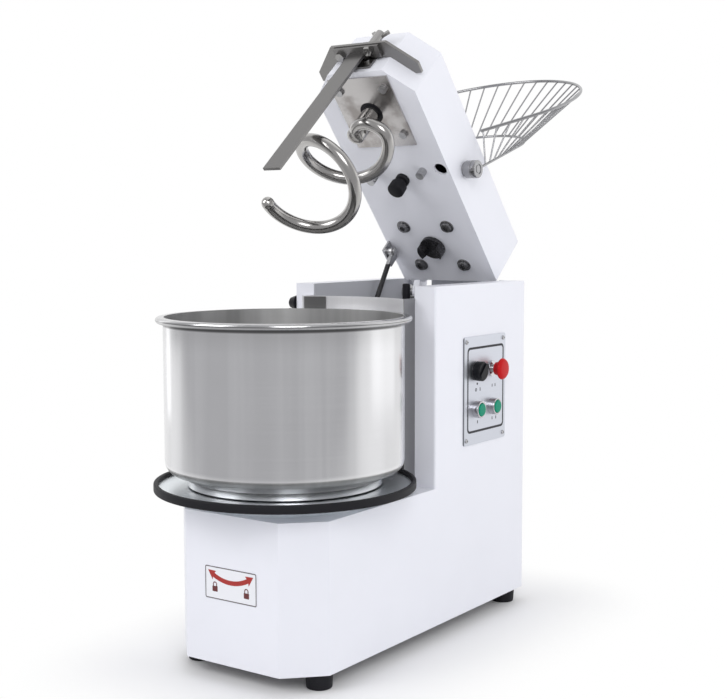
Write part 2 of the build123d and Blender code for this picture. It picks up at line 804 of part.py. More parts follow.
# Main shaft in the column with its bearings, driven by belt from the gear motor
dog_low_z = low_head_z - coupling_stand_off - coupling_hub - coupling_dog
low_hub_top = dog_low_z - coupling_axial_gap
low_hub_z = low_hub_top - coupling_hub
pulley_z = motor_plate_z - pulley_gap - pulley_width
with BuildPart() as main_shaft:
    with Locations((0, shaft_y, main_shaft_bottom)):
        Cylinder(coupling_shaft_radius, low_hub_z - main_shaft_bottom, align=STANDING)
    with Locations((0, shaft_y, bowl_chain_z)):
        add(toothed_wheel(main_teeth, coupling_shaft_radius + 5, 14, coupling_shaft_radius))
    with Locations((0, shaft_y, pulley_z)):
        Cylinder(main_pulley_radius, pulley_width, align=STANDING)
    with BuildSketch(Plane.XY.offset(pulley_z + pulley_width * 0.7)):
        with Locations((0, shaft_y)):
            Circle(main_pulley_radius - pulley_rim)
            Circle(coupling_shaft_radius + pulley_hub, mode=Mode.SUBTRACT)
    extrude(amount=pulley_width * 0.4, mode=Mode.SUBTRACT)
save(main_shaft, "main_shaft")

with BuildPart() as lower_coupling:
    with Locations((0, shaft_y, low_hub_z)):
        Cylinder(coupling_radius, coupling_hub, align=STANDING)
    with BuildSketch(Plane.XY.offset(low_hub_top)):
        with Locations((0, shaft_y)):
            Circle(coupling_radius)
            Circle(coupling_core, mode=Mode.SUBTRACT)
        add(Pos(0, shaft_y) * wedges(2, coupling_dog_angle, 90, 2 * coupling_radius), mode=Mode.INTERSECT)
    extrude(amount=coupling_dog)
save(lower_coupling, "lower_coupling")

plate_half = well_half - fit_gap
plate_y = column_front_y + plate_front_gap
motor_plate_top = motor_plate_z + motor_plate_thickness
motor_y = shaft_y - motor_forward
upper_plate_low = upper_plate_top - upper_plate_thickness
strut_eye = head_plane.from_local_coords((strut_x, -strut_eye_l, strut_eye_n))
strut_dir_y = (strut_eye.Y - column_front_y - strut_foot_gap) / strut_length
strut_dir_z = math.sqrt(1 - strut_dir_y**2)
strut_lean = strut_dir_y / strut_dir_z
strut_y = strut_eye.Y - strut_length * strut_dir_y
strut_z = strut_eye.Z - strut_length * strut_dir_z
strut_cross_y = strut_y + strut_lean * (upper_plate_top - strut_z)

with BuildPart() as column_plates:
    with BuildSketch(Plane.XY.offset(upper_plate_low)):
        with Locations((0, plate_y)):
            Rectangle(2 * plate_half, plate_depth, align=(Align.CENTER, Align.MIN))
        with Locations((0, shaft_y)):
            Circle(coupling_shaft_radius + 2, mode=Mode.SUBTRACT)
        with Locations((-plate_half, strut_cross_y + strut_tube_radius)):
            Rectangle(
                2 * (plate_half + strut_x + 2 * strut_tube_radius),
                9 * strut_tube_radius,
                mode=Mode.SUBTRACT,
            )
    extrude(amount=upper_plate_thickness)
    with BuildSketch(Plane.XY.offset(motor_plate_z)):
        with Locations((0, plate_y)):
            Rectangle(2 * plate_half, plate_depth, align=(Align.CENTER, Align.MIN))
        with Locations((0, shaft_y)):
            Circle(coupling_shaft_radius + 2, mode=Mode.SUBTRACT)
        with Locations((motor_x, motor_y)):
            Circle(motor_shaft_radius + 2, mode=Mode.SUBTRACT)
    extrude(amount=motor_plate_thickness)
save(column_plates, "column_plates")

with BuildPart() as frame_bearings:
    with Locations((0, bowl_y, housing_low), (0, bowl_y, housing_top - bearing_width)):
        Cylinder(spindle_bearing_radius, bearing_width, align=STANDING)
        Cylinder(spindle_radius + run_gap, 2 * bearing_width, mode=Mode.SUBTRACT)
    with Locations((0, shaft_y, motor_plate_top), (0, shaft_y, upper_plate_low - main_bearing_width)):
        Cylinder(main_bearing_radius, main_bearing_width, align=STANDING)
        Cylinder(coupling_shaft_radius + run_gap, 2 * main_bearing_width, mode=Mode.SUBTRACT)
save(frame_bearings, "frame_bearings")

gearbox_top = motor_plate_top + gearbox_height
with BuildPart() as gear_motor:
    with BuildSketch(Plane.XY.offset(motor_plate_top)):
        with Locations((motor_x, motor_y)):
            RectangleRounded(gearbox_size, gearbox_size, gearbox_corner)
    extrude(amount=gearbox_height)
    with BuildSketch(Plane.XY.offset(gearbox_top)):
        with Locations((motor_x, motor_y)):
            Circle(motor_radius - motor_fin_height)
            with PolarLocations(motor_radius - motor_fin_height, motor_fins):
                Rectangle(2 * motor_fin_height, motor_fin_width)
    extrude(amount=motor_length)
    with Locations((motor_x, motor_y, gearbox_top + motor_length)):
        Cylinder(motor_radius, fan_cover_height, align=STANDING)
    fillet(gear_motor.faces().sort_by(Axis.Z)[-1].edges(), fan_cover_height * 0.4)
    with Locations((motor_x, motor_y, motor_plate_top)):
        Cylinder(motor_shaft_radius + run_gap, gearbox_height, align=STANDING, mode=Mode.SUBTRACT)
save(gear_motor, "gear_motor")

with BuildPart() as motor_pulley:
    with Locations((motor_x, motor_y, pulley_z)):
        Cylinder(motor_pulley_radius, pulley_width, align=STANDING)
        Cylinder(motor_shaft_radius, gearbox_height + pulley_width, align=STANDING)
save(motor_pulley, "motor_pulley")

with BuildPart() as drive_belt:
    belt_main = ((0, shaft_y), main_pulley_radius)
    belt_motor = ((motor_x, motor_y), motor_pulley_radius)
    with Locations((0, 0, pulley_z + (pulley_width - belt_width) / 2)):
        add(loop_band(*belt_main, *belt_motor, belt_thickness, belt_width))
        add(loop_band(*belt_main, *belt_motor, touch_gap, belt_width), mode=Mode.SUBTRACT)
save(drive_belt, "drive_belt")

# Hinge of the head: shaft and end blocks in the column, two arms on the head
with BuildPart() as hinge_shaft:
    with BuildSketch(Plane.YZ.offset(-well_half - cheek_width / 3)):
        with Locations((hinge_y, hinge_z)):
            Circle(hinge_shaft_radius)
    extrude(amount=2 * well_half + 2 * cheek_width / 3)
    for start in (-well_half, well_half - hinge_block_width):
        with BuildSketch(Plane.YZ.offset(start)):
            with Locations((hinge_y, hinge_z)):
                Circle(hinge_block_radius)
        extrude(amount=hinge_block_width)
save(hinge_shaft, "hinge_shaft")

with BuildPart(head_plane) as hinge_arms:
    for arm_x in (-hinge_arm_x, hinge_arm_x):
        with BuildSketch(Plane.YZ) as arm:
            with Locations((hinge_behind_head, -hinge_below_head)):
                Circle(hinge_eye_radius)
            with Locations((hinge_pad_thickness / 2, hinge_pad_top / 2 + 2)):
                Rectangle(hinge_pad_thickness, hinge_pad_top)
            make_hull(arm.edges())
            with Locations((hinge_behind_head, -hinge_below_head)):
                Circle(hinge_shaft_radius + run_gap, mode=Mode.SUBTRACT)
            with Locations((0, 0)):
                Rectangle(
                    2 * hinge_behind_head,
                    6 * hinge_behind_head,
                    align=(Align.MAX, Align.CENTER),
                    mode=Mode.SUBTRACT,
                )
        ear = extrude(arm.sketch, amount=hinge_arm_width, mode=Mode.PRIVATE)
        with Locations((arm_x - hinge_arm_width / 2, 0, 0)):
            add(ear)
        with Locations((arm_x, hinge_pad_thickness / 2, hinge_pad_top / 2 + 2)):
            Box(hinge_pad_width, hinge_pad_thickness, hinge_pad_top)
save(hinge_arms, "hinge_arms")

# Head: painted shell over a thick underside plate
with BuildPart(head_plane) as head_shell:
    extrude(head_plane * head_outline(0), amount=head_thickness)
    uprights = head_shell.edges().filter_by(lambda e: abs(e.length - head_thickness) < 0.01)
    fillet(uprights, bend_radius)
    top_edges = head_shell.faces().sort_by(Axis((0, 0, 0), (0, tilt_sin, tilt_cos)))[-1].edges()
    fillet(top_edges, head_edge_radius)
    extrude(head_plane * head_outline(sheet), amount=head_thickness - sheet, mode=Mode.SUBTRACT)
    tab_mid_n = bracket_height - bracket_thickness / 2 - bracket_tab_height / 2
    with Locations((-tab_bolt_spread / 2, -head_length, tab_mid_n), (tab_bolt_spread / 2, -head_length, tab_mid_n)):
        Cylinder(tab_bolt_radius + screw_gap, 6 * sheet, rotation=(90, 0, 0), mode=Mode.SUBTRACT)
    with Locations((0, -guard_pivot_l, guard_pivot_n)):
        Cylinder(guard_pin_radius + screw_gap, 2 * head_width, rotation=(0, 90, 0), mode=Mode.SUBTRACT)
save(head_shell, "head_shell")

bolt_spots = [
    (x, -coupling_from_rear + y)
    for x in (-bolt_spread, bolt_spread)
    for y in (-bolt_spread, bolt_spread)
]
screw_spots = [
    (x, -spiral_from_rear + y)
    for x in (-plate_screw_x, plate_screw_x)
    for y in (-plate_screw_l, plate_screw_l)
]
with BuildPart(head_plane) as head_underside:
    extrude(head_plane * head_outline(sheet + fit_gap), amount=underside_thickness)
    with Locations((0, -spiral_from_rear), (0, -coupling_from_rear)):
        Cylinder(spiral_plate_hole, 4 * underside_thickness, mode=Mode.SUBTRACT)
    with Locations((probe_x, -probe_from_rear)):
        Cylinder(probe_hole_radius, 4 * underside_thickness, mode=Mode.SUBTRACT)
    with Locations(*bolt_spots):
        Cylinder(bolt_radius + screw_gap, 4 * underside_thickness, mode=Mode.SUBTRACT)
    with Locations(*screw_spots):
        Cylinder(plate_screw_radius + screw_gap, 4 * underside_thickness, mode=Mode.SUBTRACT)
save(head_underside, "head_underside")

# Spiral drive in the head: cover plate, seal, housing, bearings and shaft
with BuildPart(head_plane) as spiral_plate:
    with BuildSketch(head_plane):
        with Locations((0, -spiral_from_rear)):
            Rectangle(spiral_plate_width, spiral_plate_length)
            Circle(spiral_plate_hole, mode=Mode.SUBTRACT)
        with Locations(*screw_spots):
            Circle(plate_screw_radius + screw_gap, mode=Mode.SUBTRACT)
    extrude(amount=-spiral_plate_thickness)
save(spiral_plate, "spiral_plate")

with BuildPart(head_plane) as plate_screws:
    with Locations(*[(x, y, -spiral_plate_thickness) for x, y in screw_spots]):
        Cylinder(plate_screw_head, plate_screw_head_height, align=HANGING)
        Cylinder(plate_screw_radius, spiral_plate_thickness + underside_thickness, align=STANDING)
save(plate_screws, "plate_screws")

with BuildPart(head_plane) as spiral_seal:
    with Locations((0, -spiral_from_rear, -spiral_plate_thickness)):
        Cylinder(spiral_plate_hole - fit_gap, spiral_plate_thickness + underside_thickness / 2, align=STANDING)
        Cylinder(spiral_shaft_radius + touch_gap, 6 * underside_thickness, mode=Mode.SUBTRACT)
save(spiral_seal, "spiral_seal")

with BuildPart(head_plane) as drive_housings:
    with Locations((0, -spiral_from_rear, underside_thickness), (0, -coupling_from_rear, underside_thickness)):
        Cylinder(housing_radius, housing_length, align=STANDING)
    with BuildSketch(head_plane.offset(underside_thickness)):
        with Locations((0, -coupling_from_rear)):
            flange_size = 2 * (bolt_spread + housing_flange)
            RectangleRounded(flange_size, flange_size, housing_corner)
    extrude(amount=bolt_length - underside_thickness + bolt_cover)
    with Locations((0, -spiral_from_rear, underside_thickness), (0, -coupling_from_rear, underside_thickness)):
        Cylinder(housing_bore, 3 * housing_length, mode=Mode.SUBTRACT)
    bearing_levels = (underside_thickness, underside_thickness + housing_length - bearing_width)
    for level in bearing_levels:
        with Locations((0, -spiral_from_rear, level)):
            Cylinder(housing_bore, bearing_width, align=STANDING)
            Cylinder(spiral_shaft_radius + run_gap, bearing_width, align=STANDING, mode=Mode.SUBTRACT)
        with Locations((0, -coupling_from_rear, level)):
            Cylinder(housing_bore, bearing_width, align=STANDING)
            Cylinder(coupling_shaft_radius + run_gap, bearing_width, align=STANDING, mode=Mode.SUBTRACT)
    with Locations(*bolt_spots):
        Cylinder(bolt_radius + screw_gap, 2 * bolt_length, mode=Mode.SUBTRACT)
save(drive_housings, "drive_housings")

shaft_top = head_chain_height + 3 * sprocket_width
with BuildPart(head_plane) as spiral_shaft:
    with Locations((0, -spiral_from_rear, -spiral_shaft_end)):
        Cylinder(spiral_shaft_radius, spiral_shaft_end + shaft_top, align=STANDING)
    with Locations((0, -spiral_from_rear, head_chain_height)):
        add(toothed_wheel(head_teeth, spiral_shaft_radius + 6, 10, spiral_shaft_radius))
save(spiral_shaft, "spiral_shaft")

with BuildPart(head_plane) as input_shaft:
    with Locations((0, -coupling_from_rear, -coupling_stand_off)):
        Cylinder(coupling_shaft_radius, coupling_stand_off + shaft_top, align=STANDING)
    with Locations((0, -coupling_from_rear, head_chain_height)):
        add(toothed_wheel(head_teeth, coupling_shaft_radius + 8, 10, coupling_shaft_radius))
save(input_shaft, "input_shaft")

front_wheel = ((0, -spiral_from_rear), pitch_radius(head_teeth))
rear_wheel = ((0, -coupling_from_rear), pitch_radius(head_teeth))
with BuildPart(head_plane) as head_chain:
    with Locations(
        (0, 0, head_chain_height - chain_plate_thickness - 0.4), (0, 0, head_chain_height + sprocket_width + 0.4)
    ):
        add(loop_band(*front_wheel, *rear_wheel, chain_plate_height, chain_plate_thickness))
        add(
            loop_band(*front_wheel, *rear_wheel, -chain_plate_height, chain_plate_thickness),
            mode=Mode.SUBTRACT,
        )
save(head_chain, "head_chain")

with BuildPart(head_plane) as upper_coupling:
    with Locations((0, -coupling_from_rear, -coupling_stand_off)):
        Cylinder(coupling_radius, coupling_hub, align=HANGING)
    with BuildSketch(head_plane.offset(-coupling_stand_off - coupling_hub)):
        with Locations((0, -coupling_from_rear)):
            Circle(coupling_radius)
            Circle(coupling_core, mode=Mode.SUBTRACT)
        add(
            Pos(0, -coupling_from_rear) * wedges(2, coupling_dog_angle, 0, 2 * coupling_radius),
            mode=Mode.INTERSECT,
        )
    extrude(amount=-coupling_dog)
save(upper_coupling, "upper_coupling")

with BuildPart(head_plane) as housing_bolts:
    with Locations(*bolt_spots):
        Cylinder(bolt_head_radius, bolt_head_height, align=HANGING)
        Cylinder(bolt_radius, bolt_length, align=STANDING)
    with BuildSketch(head_plane.offset(-bolt_head_height)):
        with Locations(*bolt_spots):
            RegularPolygon(bolt_socket_radius, 6)
    extrude(amount=bolt_socket_depth, mode=Mode.SUBTRACT)
save(housing_bolts, "housing_bolts")

# Kneading spiral: round bar wound about the shaft axis
with BuildPart() as spiral_hook:
    hook_points = []
    bends = []
    for step in range(spiral_steps + 1):
        share = spiral_first_share + (1 - spiral_first_share) * step / spiral_steps
        entry = min(share / spiral_entry_share, 1)
        run = max((share - spiral_entry_share) / (1 - spiral_entry_share), 0)
        angle = math.radians(spiral_start_angle - spiral_turn * share)
        depth = spiral_start_depth + spiral_entry_drop * entry
        depth += (spiral_depth - spiral_start_depth - spiral_entry_drop) * run
        across = spiral_radius * entry * math.cos(angle)
        along = spiral_from_rear + spiral_radius * entry * math.sin(angle)
        hook_points.append(head_plane.from_local_coords((across, -along, -depth)))
        bends.append(spiral_rod_radius * 1.3 if share < 1.5 * spiral_entry_share else spiral_radius * 0.8)
    with BuildLine() as hook_path:
        FilletPolyline(*hook_points, radius=bends[1:-1])
    with BuildSketch(Plane(origin=hook_path.wire() @ 0, z_dir=hook_path.wire() % 0)):
        Circle(spiral_rod_radius)
    sweep(path=hook_path.wire())
    with BuildSketch(head_plane.offset(-spiral_shank_end)):
        with Locations((0, -spiral_from_rear)):
            Circle(spiral_shank_radius)
    extrude(amount=spiral_shank_end - spiral_shaft_end)
    pin_centre = head_plane.from_local_coords((0, -spiral_from_rear, -spiral_pin_depth))
    with BuildSketch(Plane(origin=pin_centre, z_dir=(1, 0, 0))):
        Circle(spiral_pin_radius)
    extrude(amount=spiral_pin_length / 2, both=True)
save(spiral_hook, "spiral_hook")

# Bumper, latch studs and the interlock under the head
with BuildPart(head_plane) as head_bumper:
    with Locations((0, -bumper_from_rear, 0)):
        Cylinder(bumper_flange_radius, bumper_flange_height, align=HANGING)
        Cylinder(bumper_neck_radius, bumper_neck_height, align=HANGING)
    with Locations((0, -bumper_from_rear, -bumper_neck_height)):
        Cylinder(bumper_radius, bumper_height - bumper_neck_height, align=HANGING)
    low_face = head_bumper.faces().sort_by(Axis((0, 0, 0), (0, tilt_sin, tilt_cos)))[0]
    fillet(low_face.edges(), bumper_radius * 0.2)
save(head_bumper, "head_bumper")

stud_hole_n = lock_z - low_head_z
with BuildPart(head_plane) as latch_studs:
    with Locations((-stud_x, -stud_from_rear, 0)):
        Cylinder(stud_radius, stud_length, align=HANGING)
    with Locations((stud_x, -stud_from_rear, 0)):
        Cylinder(stud_radius, plain_stud_length, align=HANGING)
    with Locations((0, -stud_from_rear, stud_hole_n)):
        Cylinder(stud_hole_radius, 4 * stud_x, rotation=(0, 90, 0), mode=Mode.SUBTRACT)
save(latch_studs, "latch_studs")

probe_y = low_head_y - probe_from_rear
with BuildPart() as interlock_switch:
    with Locations((probe_x + probe_block_shift, probe_y + probe_radius, upper_plate_top)):
        Box(probe_block_width, probe_block_depth, probe_block_height, align=STANDING)
    fillet(interlock_switch.edges().filter_by(Axis.Z), 2)
    with Locations((probe_x, probe_y, upper_plate_top)):
        Cylinder(probe_radius, low_head_z + probe_top - upper_plate_top, align=STANDING)
    fillet(interlock_switch.faces().sort_by(Axis.Z)[-1].edges(), probe_radius * 0.4)
save(interlock_switch, "interlock_switch")

# Head lock: push rod with its knob in a bell-shaped guide
with BuildPart() as lock_rod:
    rod_end = -stud_x - stud_radius - lock_clear
    knob_inner = -half_width - lock_guide_length - lock_knob_proud + lock_knob_length
    with BuildSketch(Plane.YZ.offset(knob_inner)):
        with Locations((lock_y, lock_z)):
            Circle(lock_rod_radius)
    extrude(amount=rod_end - knob_inner)
    chamfer(lock_rod.faces().sort_by(Axis.X)[-1].edges(), lock_rod_radius * 0.3)
    with BuildSketch(Plane.YZ.offset(knob_inner - lock_knob_length)):
        with Locations((lock_y, lock_z)):
            Circle(lock_knob_radius)
    extrude(amount=lock_knob_length)
    fillet(lock_rod.faces().sort_by(Axis.X)[0].edges(), lock_knob_radius * 0.5)
save(lock_rod, "lock_rod")

with BuildPart() as lock_guide:
    with Locations((-half_width, lock_y, lock_z)):
        Cone(
            lock_guide_radius,
            lock_guide_end_radius,
            lock_guide_length,
            rotation=(0, -90, 0),
            align=STANDING,
        )
        Cylinder(
            lock_knob_radius + touch_gap,
            4 * lock_guide_length,
            rotation=(0, 90, 0),
            mode=Mode.SUBTRACT,
        )
save(lock_guide, "lock_guide")

# Gas spring on the left of the head
strut_plane = Plane(origin=(strut_x, strut_y, strut_z), x_dir=(1, 0, 0), z_dir=(0, strut_dir_y, strut_dir_z))
tube_end = strut_neck + strut_tube_length
with BuildPart() as strut_anchor:
    spots = (strut_y, strut_z)
    eye_left = strut_x - strut_eye_width / 2 - strut_side_gap
    eye_right = strut_x + strut_eye_width / 2 + strut_side_gap
    with BuildSketch(Plane.YZ.offset(-well_half)):
        with Locations(spots):
            Circle(strut_anchor_radius)
    extrude(amount=strut_anchor_plate)
    with BuildSketch(Plane.YZ.offset(-well_half)):
        with Locations(spots):
            Circle(strut_pin_radius * 2)
    extrude(amount=eye_left + well_half)
    with BuildSketch(Plane.YZ.offset(eye_left)):
        with Locations(spots):
            Circle(strut_pin_radius)
    extrude(amount=eye_right - eye_left)
    with BuildSketch(Plane.YZ.offset(eye_right)):
        with Locations(spots):
            Circle(strut_pin_radius * 1.8)
    extrude(amount=strut_anchor_plate)
save(strut_anchor, "strut_anchor")

with BuildPart(strut_plane) as strut_tube:
    Cylinder(strut_eye_radius, strut_eye_width, rotation=(0, 90, 0))
    Cylinder(strut_eye_width * 0.4, strut_neck + strut_gland / 2, align=STANDING)
    with Locations((0, 0, strut_neck)):
        Cylinder(strut_tube_radius, strut_tube_length, align=STANDING)
    with Locations((0, 0, strut_neck + strut_gland)):
        Cylinder(
            strut_tube_radius - strut_tube_wall,
            strut_tube_length - 2 * strut_gland,
            align=STANDING,
            mode=Mode.SUBTRACT,
        )
        Cylinder(strut_rod_radius + run_gap, strut_tube_length, align=STANDING, mode=Mode.SUBTRACT)
    Cylinder(strut_pin_radius + run_gap, 4 * strut_eye_width, rotation=(0, 90, 0), mode=Mode.SUBTRACT)
save(strut_tube, "strut_tube")

washer_right = strut_x - strut_eye_width / 2 - fit_gap
bracket_right = washer_right - strut_washer_thickness - strut_side_gap
bracket_left = bracket_right - strut_bracket_thickness
washer_left = bracket_left - strut_side_gap
with BuildPart(strut_plane) as strut_rod:
    piston_z = tube_end - 2 * strut_gland - touch_gap
    with Locations((0, 0, piston_z)):
        Cylinder(strut_tube_radius - strut_tube_wall - run_gap, strut_gland, align=STANDING)
        Cylinder(strut_rod_radius, strut_length - piston_z, align=STANDING)
    with Locations((0, 0, strut_length)):
        Cylinder(strut_eye_radius, strut_eye_width, rotation=(0, 90, 0))
    stud_start = washer_left - strut_washer_thickness
    stud_stop = strut_x + strut_eye_width / 2 + fit_gap
    with BuildSketch(Plane.YZ.offset(stud_start)):
        with Locations((strut_eye.Y, strut_eye.Z)):
            Circle(strut_pin_radius)
    extrude(amount=stud_stop - stud_start)
    with BuildSketch(Plane.YZ.offset(stud_start)):
        with Locations((strut_eye.Y, strut_eye.Z)):
            Circle(strut_washer_radius)
    extrude(amount=strut_washer_thickness)
    with BuildSketch(Plane.YZ.offset(washer_right - strut_washer_thickness)):
        with Locations((strut_eye.Y, strut_eye.Z)):
            Circle(strut_washer_radius)
    extrude(amount=strut_washer_thickness)
    with BuildSketch(Plane.YZ.offset(stud_stop)):
        with Locations((strut_eye.Y, strut_eye.Z)):
            RegularPolygon(strut_pin_radius * 1.8, 6)
    extrude(amount=strut_bracket_thickness)
save(strut_rod, "strut_rod")

with BuildPart(head_plane) as strut_bracket:
    slot_l = strut_eye_l - strut_slot_travel / 2
    tab_length = strut_slot_travel + 2 * (strut_slot_radius + strut_bracket_margin)
    tab_depth = strut_slot_radius + strut_bracket_margin * 0.8 - strut_eye_n
    middle_x = (bracket_left + bracket_right) / 2
    with Locations((middle_x, -slot_l, 0)):
        Box(strut_bracket_thickness, tab_length, tab_depth, align=HANGING)
    with Locations((middle_x, -strut_eye_l, strut_eye_n), (middle_x, -strut_eye_l + strut_slot_travel, strut_eye_n)):
        Cylinder(strut_slot_radius, 4 * strut_bracket_thickness, rotation=(0, 90, 0), mode=Mode.SUBTRACT)
    with Locations((middle_x, -slot_l, strut_eye_n)):
        Box(4 * strut_bracket_thickness, strut_slot_travel, 2 * strut_slot_radius, mode=Mode.SUBTRACT)
save(strut_bracket, "strut_bracket")

# Breaker bar hung from a bracket on the tip of the head
tip_half = head_width / 2 - head_tip_cut
wing_l = head_length - bracket_wing_l
wing_x = tip_half + bracket_wing_l
bracket_low = bracket_height - bracket_thickness / 2
bracket_front = head_length + bracket_reach
bar_l = head_length + bracket_reach / 2
bolt_places = [
    (bar_x - bar_bolt_spread, -bar_l),
    (bar_x + bar_bolt_spread + wing_bolt_shift_x, -bar_l - wing_bolt_shift_l),
]
with BuildPart(head_plane) as breaker_bracket:
    with BuildSketch(head_plane.offset(bracket_low)):
        with BuildLine():
            Polyline(
                (-tip_half, -head_length - fit_gap),
                (tip_half, -head_length - fit_gap),
                (wing_x + fit_gap, -wing_l),
                (wing_x + bracket_reach * 0.4, -wing_l),
                (wing_x + bracket_reach * 0.4, -wing_l - bracket_reach * 0.64),
                (bracket_half_front, -bracket_front),
                (-bracket_half_front, -bracket_front),
                (-wing_x - bracket_reach * 0.4, -wing_l - bracket_reach * 0.64),
                (-wing_x - bracket_reach * 0.4, -wing_l),
                (-wing_x - fit_gap, -wing_l),
                close=True,
            )
        make_face()
        with Locations(*bolt_places):
            Circle(bar_bolt_radius + screw_gap, mode=Mode.SUBTRACT)
    extrude(amount=bracket_thickness)
    with Locations((0, -head_length - fit_gap, bracket_low)):
        Box(
            bracket_tab_width,
            bracket_tab_thickness,
            bracket_tab_height,
            align=(Align.CENTER, Align.MAX, Align.MAX),
        )
    tab_bolt_n = bracket_low - bracket_tab_height / 2
    with Locations((-tab_bolt_spread / 2, -head_length, tab_bolt_n), (tab_bolt_spread / 2, -head_length, tab_bolt_n)):
        Cylinder(
            tab_bolt_radius + screw_gap,
            4 * bracket_tab_thickness,
            rotation=(90, 0, 0),
            mode=Mode.SUBTRACT,
        )
save(breaker_bracket, "breaker_bracket")

foot_low = bracket_low - bar_foot_thickness
with BuildPart(head_plane) as breaker_bar:
    with Locations((bar_x, -bar_l, foot_low)):
        Box(bar_width, bar_thickness, bar_depth + foot_low, align=HANGING)
    with Locations((bar_x, bar_foot_edge - bracket_front, foot_low)):
        Box(
            bar_foot_length,
            bar_foot_depth,
            bar_foot_thickness,
            align=(Align.CENTER, Align.MIN, Align.MIN),
        )
    with Locations(*bolt_places):
        Cylinder(bar_bolt_radius + screw_gap, 6 * bracket_height, mode=Mode.SUBTRACT)
save(breaker_bar, "breaker_bar")

bracket_high = bracket_low + bracket_thickness
with BuildPart(head_plane) as bracket_bolts:
    with Locations((*bolt_places[0], foot_low - bar_bolt_head_height)):
        Cylinder(
            bar_bolt_radius,
            bracket_high - foot_low + 2.5 * bar_bolt_head_height,
            align=STANDING,
        )
    with BuildSketch(head_plane.offset(foot_low)):
        with Locations(*bolt_places):
            RegularPolygon(bar_bolt_head, 6)
    extrude(amount=-bar_bolt_head_height)
    with BuildSketch(head_plane.offset(bracket_high)):
        with Locations(bolt_places[0]):
            RegularPolygon(bar_bolt_head, 6)
    extrude(amount=bar_bolt_head_height)
    with Locations((*bolt_places[1], foot_low)):
        Cylinder(bar_bolt_radius + screw_gap, 4 * bar_bolt_head_height, mode=Mode.SUBTRACT)
    tab_face = -head_length - fit_gap - bracket_tab_thickness
    with Locations((-tab_bolt_spread / 2, tab_face, tab_bolt_n), (tab_bolt_spread / 2, tab_face, tab_bolt_n)):
        Cylinder(tab_bolt_head, tab_bolt_head_height, rotation=(90, 0, 0), align=STANDING)
        Cylinder(tab_bolt_radius, 3 * bracket_tab_thickness, rotation=(-90, 0, 0), align=STANDING)
    with Locations((*bolt_places[1], bracket_high)):
        Cylinder(wing_boss_radius, wing_boss_height, align=STANDING)
        Cylinder(
            bar_bolt_radius,
            bracket_high - foot_low + 1.5 * bar_bolt_head_height,
            align=HANGING,
        )
    wing_plane = Plane(
        origin=head_plane.from_local_coords((*bolt_places[1], bracket_high)),
        x_dir=(1, 0, 0),
        z_dir=(0, -tilt_cos, tilt_sin),
    )
    with BuildSketch(wing_plane):
        for side in (-1, 1):
            with BuildLine():
                Polyline(
                    (side * wing_boss_radius * 0.5, wing_low),
                    (side * wing_span * 0.28, wing_low + wing_thickness),
                    (side * wing_span * 0.5, wing_height - wing_thickness),
                    (side * wing_span * 0.36, wing_height),
                    (side * wing_boss_radius, wing_boss_height),
                    (side * wing_boss_radius * 0.5, wing_boss_height),
                    close=True,
                )
            make_face()
    extrude(amount=wing_thickness / 2, both=True)
save(bracket_bolts, "bracket_bolts")


# Folding wire guard and the pins that it swings on
with BuildPart(head_plane) as guard_pins:
    for side in (-1, 1):
        with Locations((side * (head_width / 2 - 2 * guard_boss_start), -guard_pivot_l, guard_pivot_n)):
            Cylinder(
                guard_pin_radius,
                3 * guard_boss_start + guard_boss_length,
                rotation=(0, 90 * side, 0),
                align=STANDING,
            )
        with Locations((side * head_width / 2, -guard_pivot_l, guard_pivot_n)):
            Cylinder(guard_washer_radius, guard_boss_start, rotation=(0, 90 * side, 0), align=STANDING)
save(guard_pins, "guard_pins")

with BuildPart(guard_plane) as guard_hubs:
    hub_start = head_width / 2 + guard_boss_start + touch_gap
    for side in (-1, 1):
        with Locations((side * hub_start, 0, 0)):
            Cylinder(guard_boss_radius, guard_boss_length, rotation=(0, 90 * side, 0), align=STANDING)
    fillet(guard_hubs.edges().filter_by(GeomType.CIRCLE), 1.5)
    Cylinder(guard_pin_radius + run_gap, 3 * head_width, rotation=(0, 90, 0), mode=Mode.SUBTRACT)
save(guard_hubs, "guard_hubs")


def guard_loop(arm_x, arm_s, centre, radius):
    """Right arm, ring and left arm of the guard, as points in its plane."""
    right = tangent_point((arm_x, arm_s), centre, radius)
    return (arm_x, -arm_s), (right[0], -right[1]), (0, -centre - radius), (-right[0], -right[1]), (-arm_x, -arm_s)


outer_points = guard_loop(guard_arm_x, guard_arm_s, guard_ring_centre, guard_ring_radius)
inner_points = guard_loop(guard_inner_arm_x, guard_inner_arm_s, guard_inner_centre, guard_inner_radius)
with BuildPart() as guard_rings:
    with BuildLine(guard_plane.offset(-guard_ring_drop)) as outer_path:
        Line(outer_points[0], outer_points[1])
        ThreePointArc(outer_points[1], outer_points[2], outer_points[3])
        Line(outer_points[3], outer_points[4])
    outer_wire = outer_path.wire()
    with BuildSketch(Plane(origin=outer_wire @ 0, z_dir=outer_wire % 0)):
        Circle(guard_ring_wire)
    sweep(path=outer_wire)
    with BuildLine(guard_inner_plane) as inner_path:
        Line(inner_points[0], inner_points[1])
        ThreePointArc(inner_points[1], inner_points[2], inner_points[3])
        Line(inner_points[3], inner_points[4])
    inner_wire = inner_path.wire()
    with BuildSketch(Plane(origin=inner_wire @ 0, z_dir=inner_wire % 0)):
        Circle(guard_inner_wire)
    sweep(path=inner_wire)
save(guard_rings, "guard_rings")

with BuildPart() as guard_wires:
    for index in range(guard_wire_count):
        share = index / (guard_wire_count - 1)
        outer_end = outer_wire @ (guard_outer_margin + share * (1 - 2 * guard_outer_margin))
        inner_end = inner_wire @ (guard_inner_margin + share * (1 - 2 * guard_inner_margin))
        with BuildSketch(Plane(origin=outer_end, z_dir=inner_end - outer_end)):
            Circle(guard_wire)
        extrude(amount=(inner_end - outer_end).length)
save(guard_wires, "guard_wires")

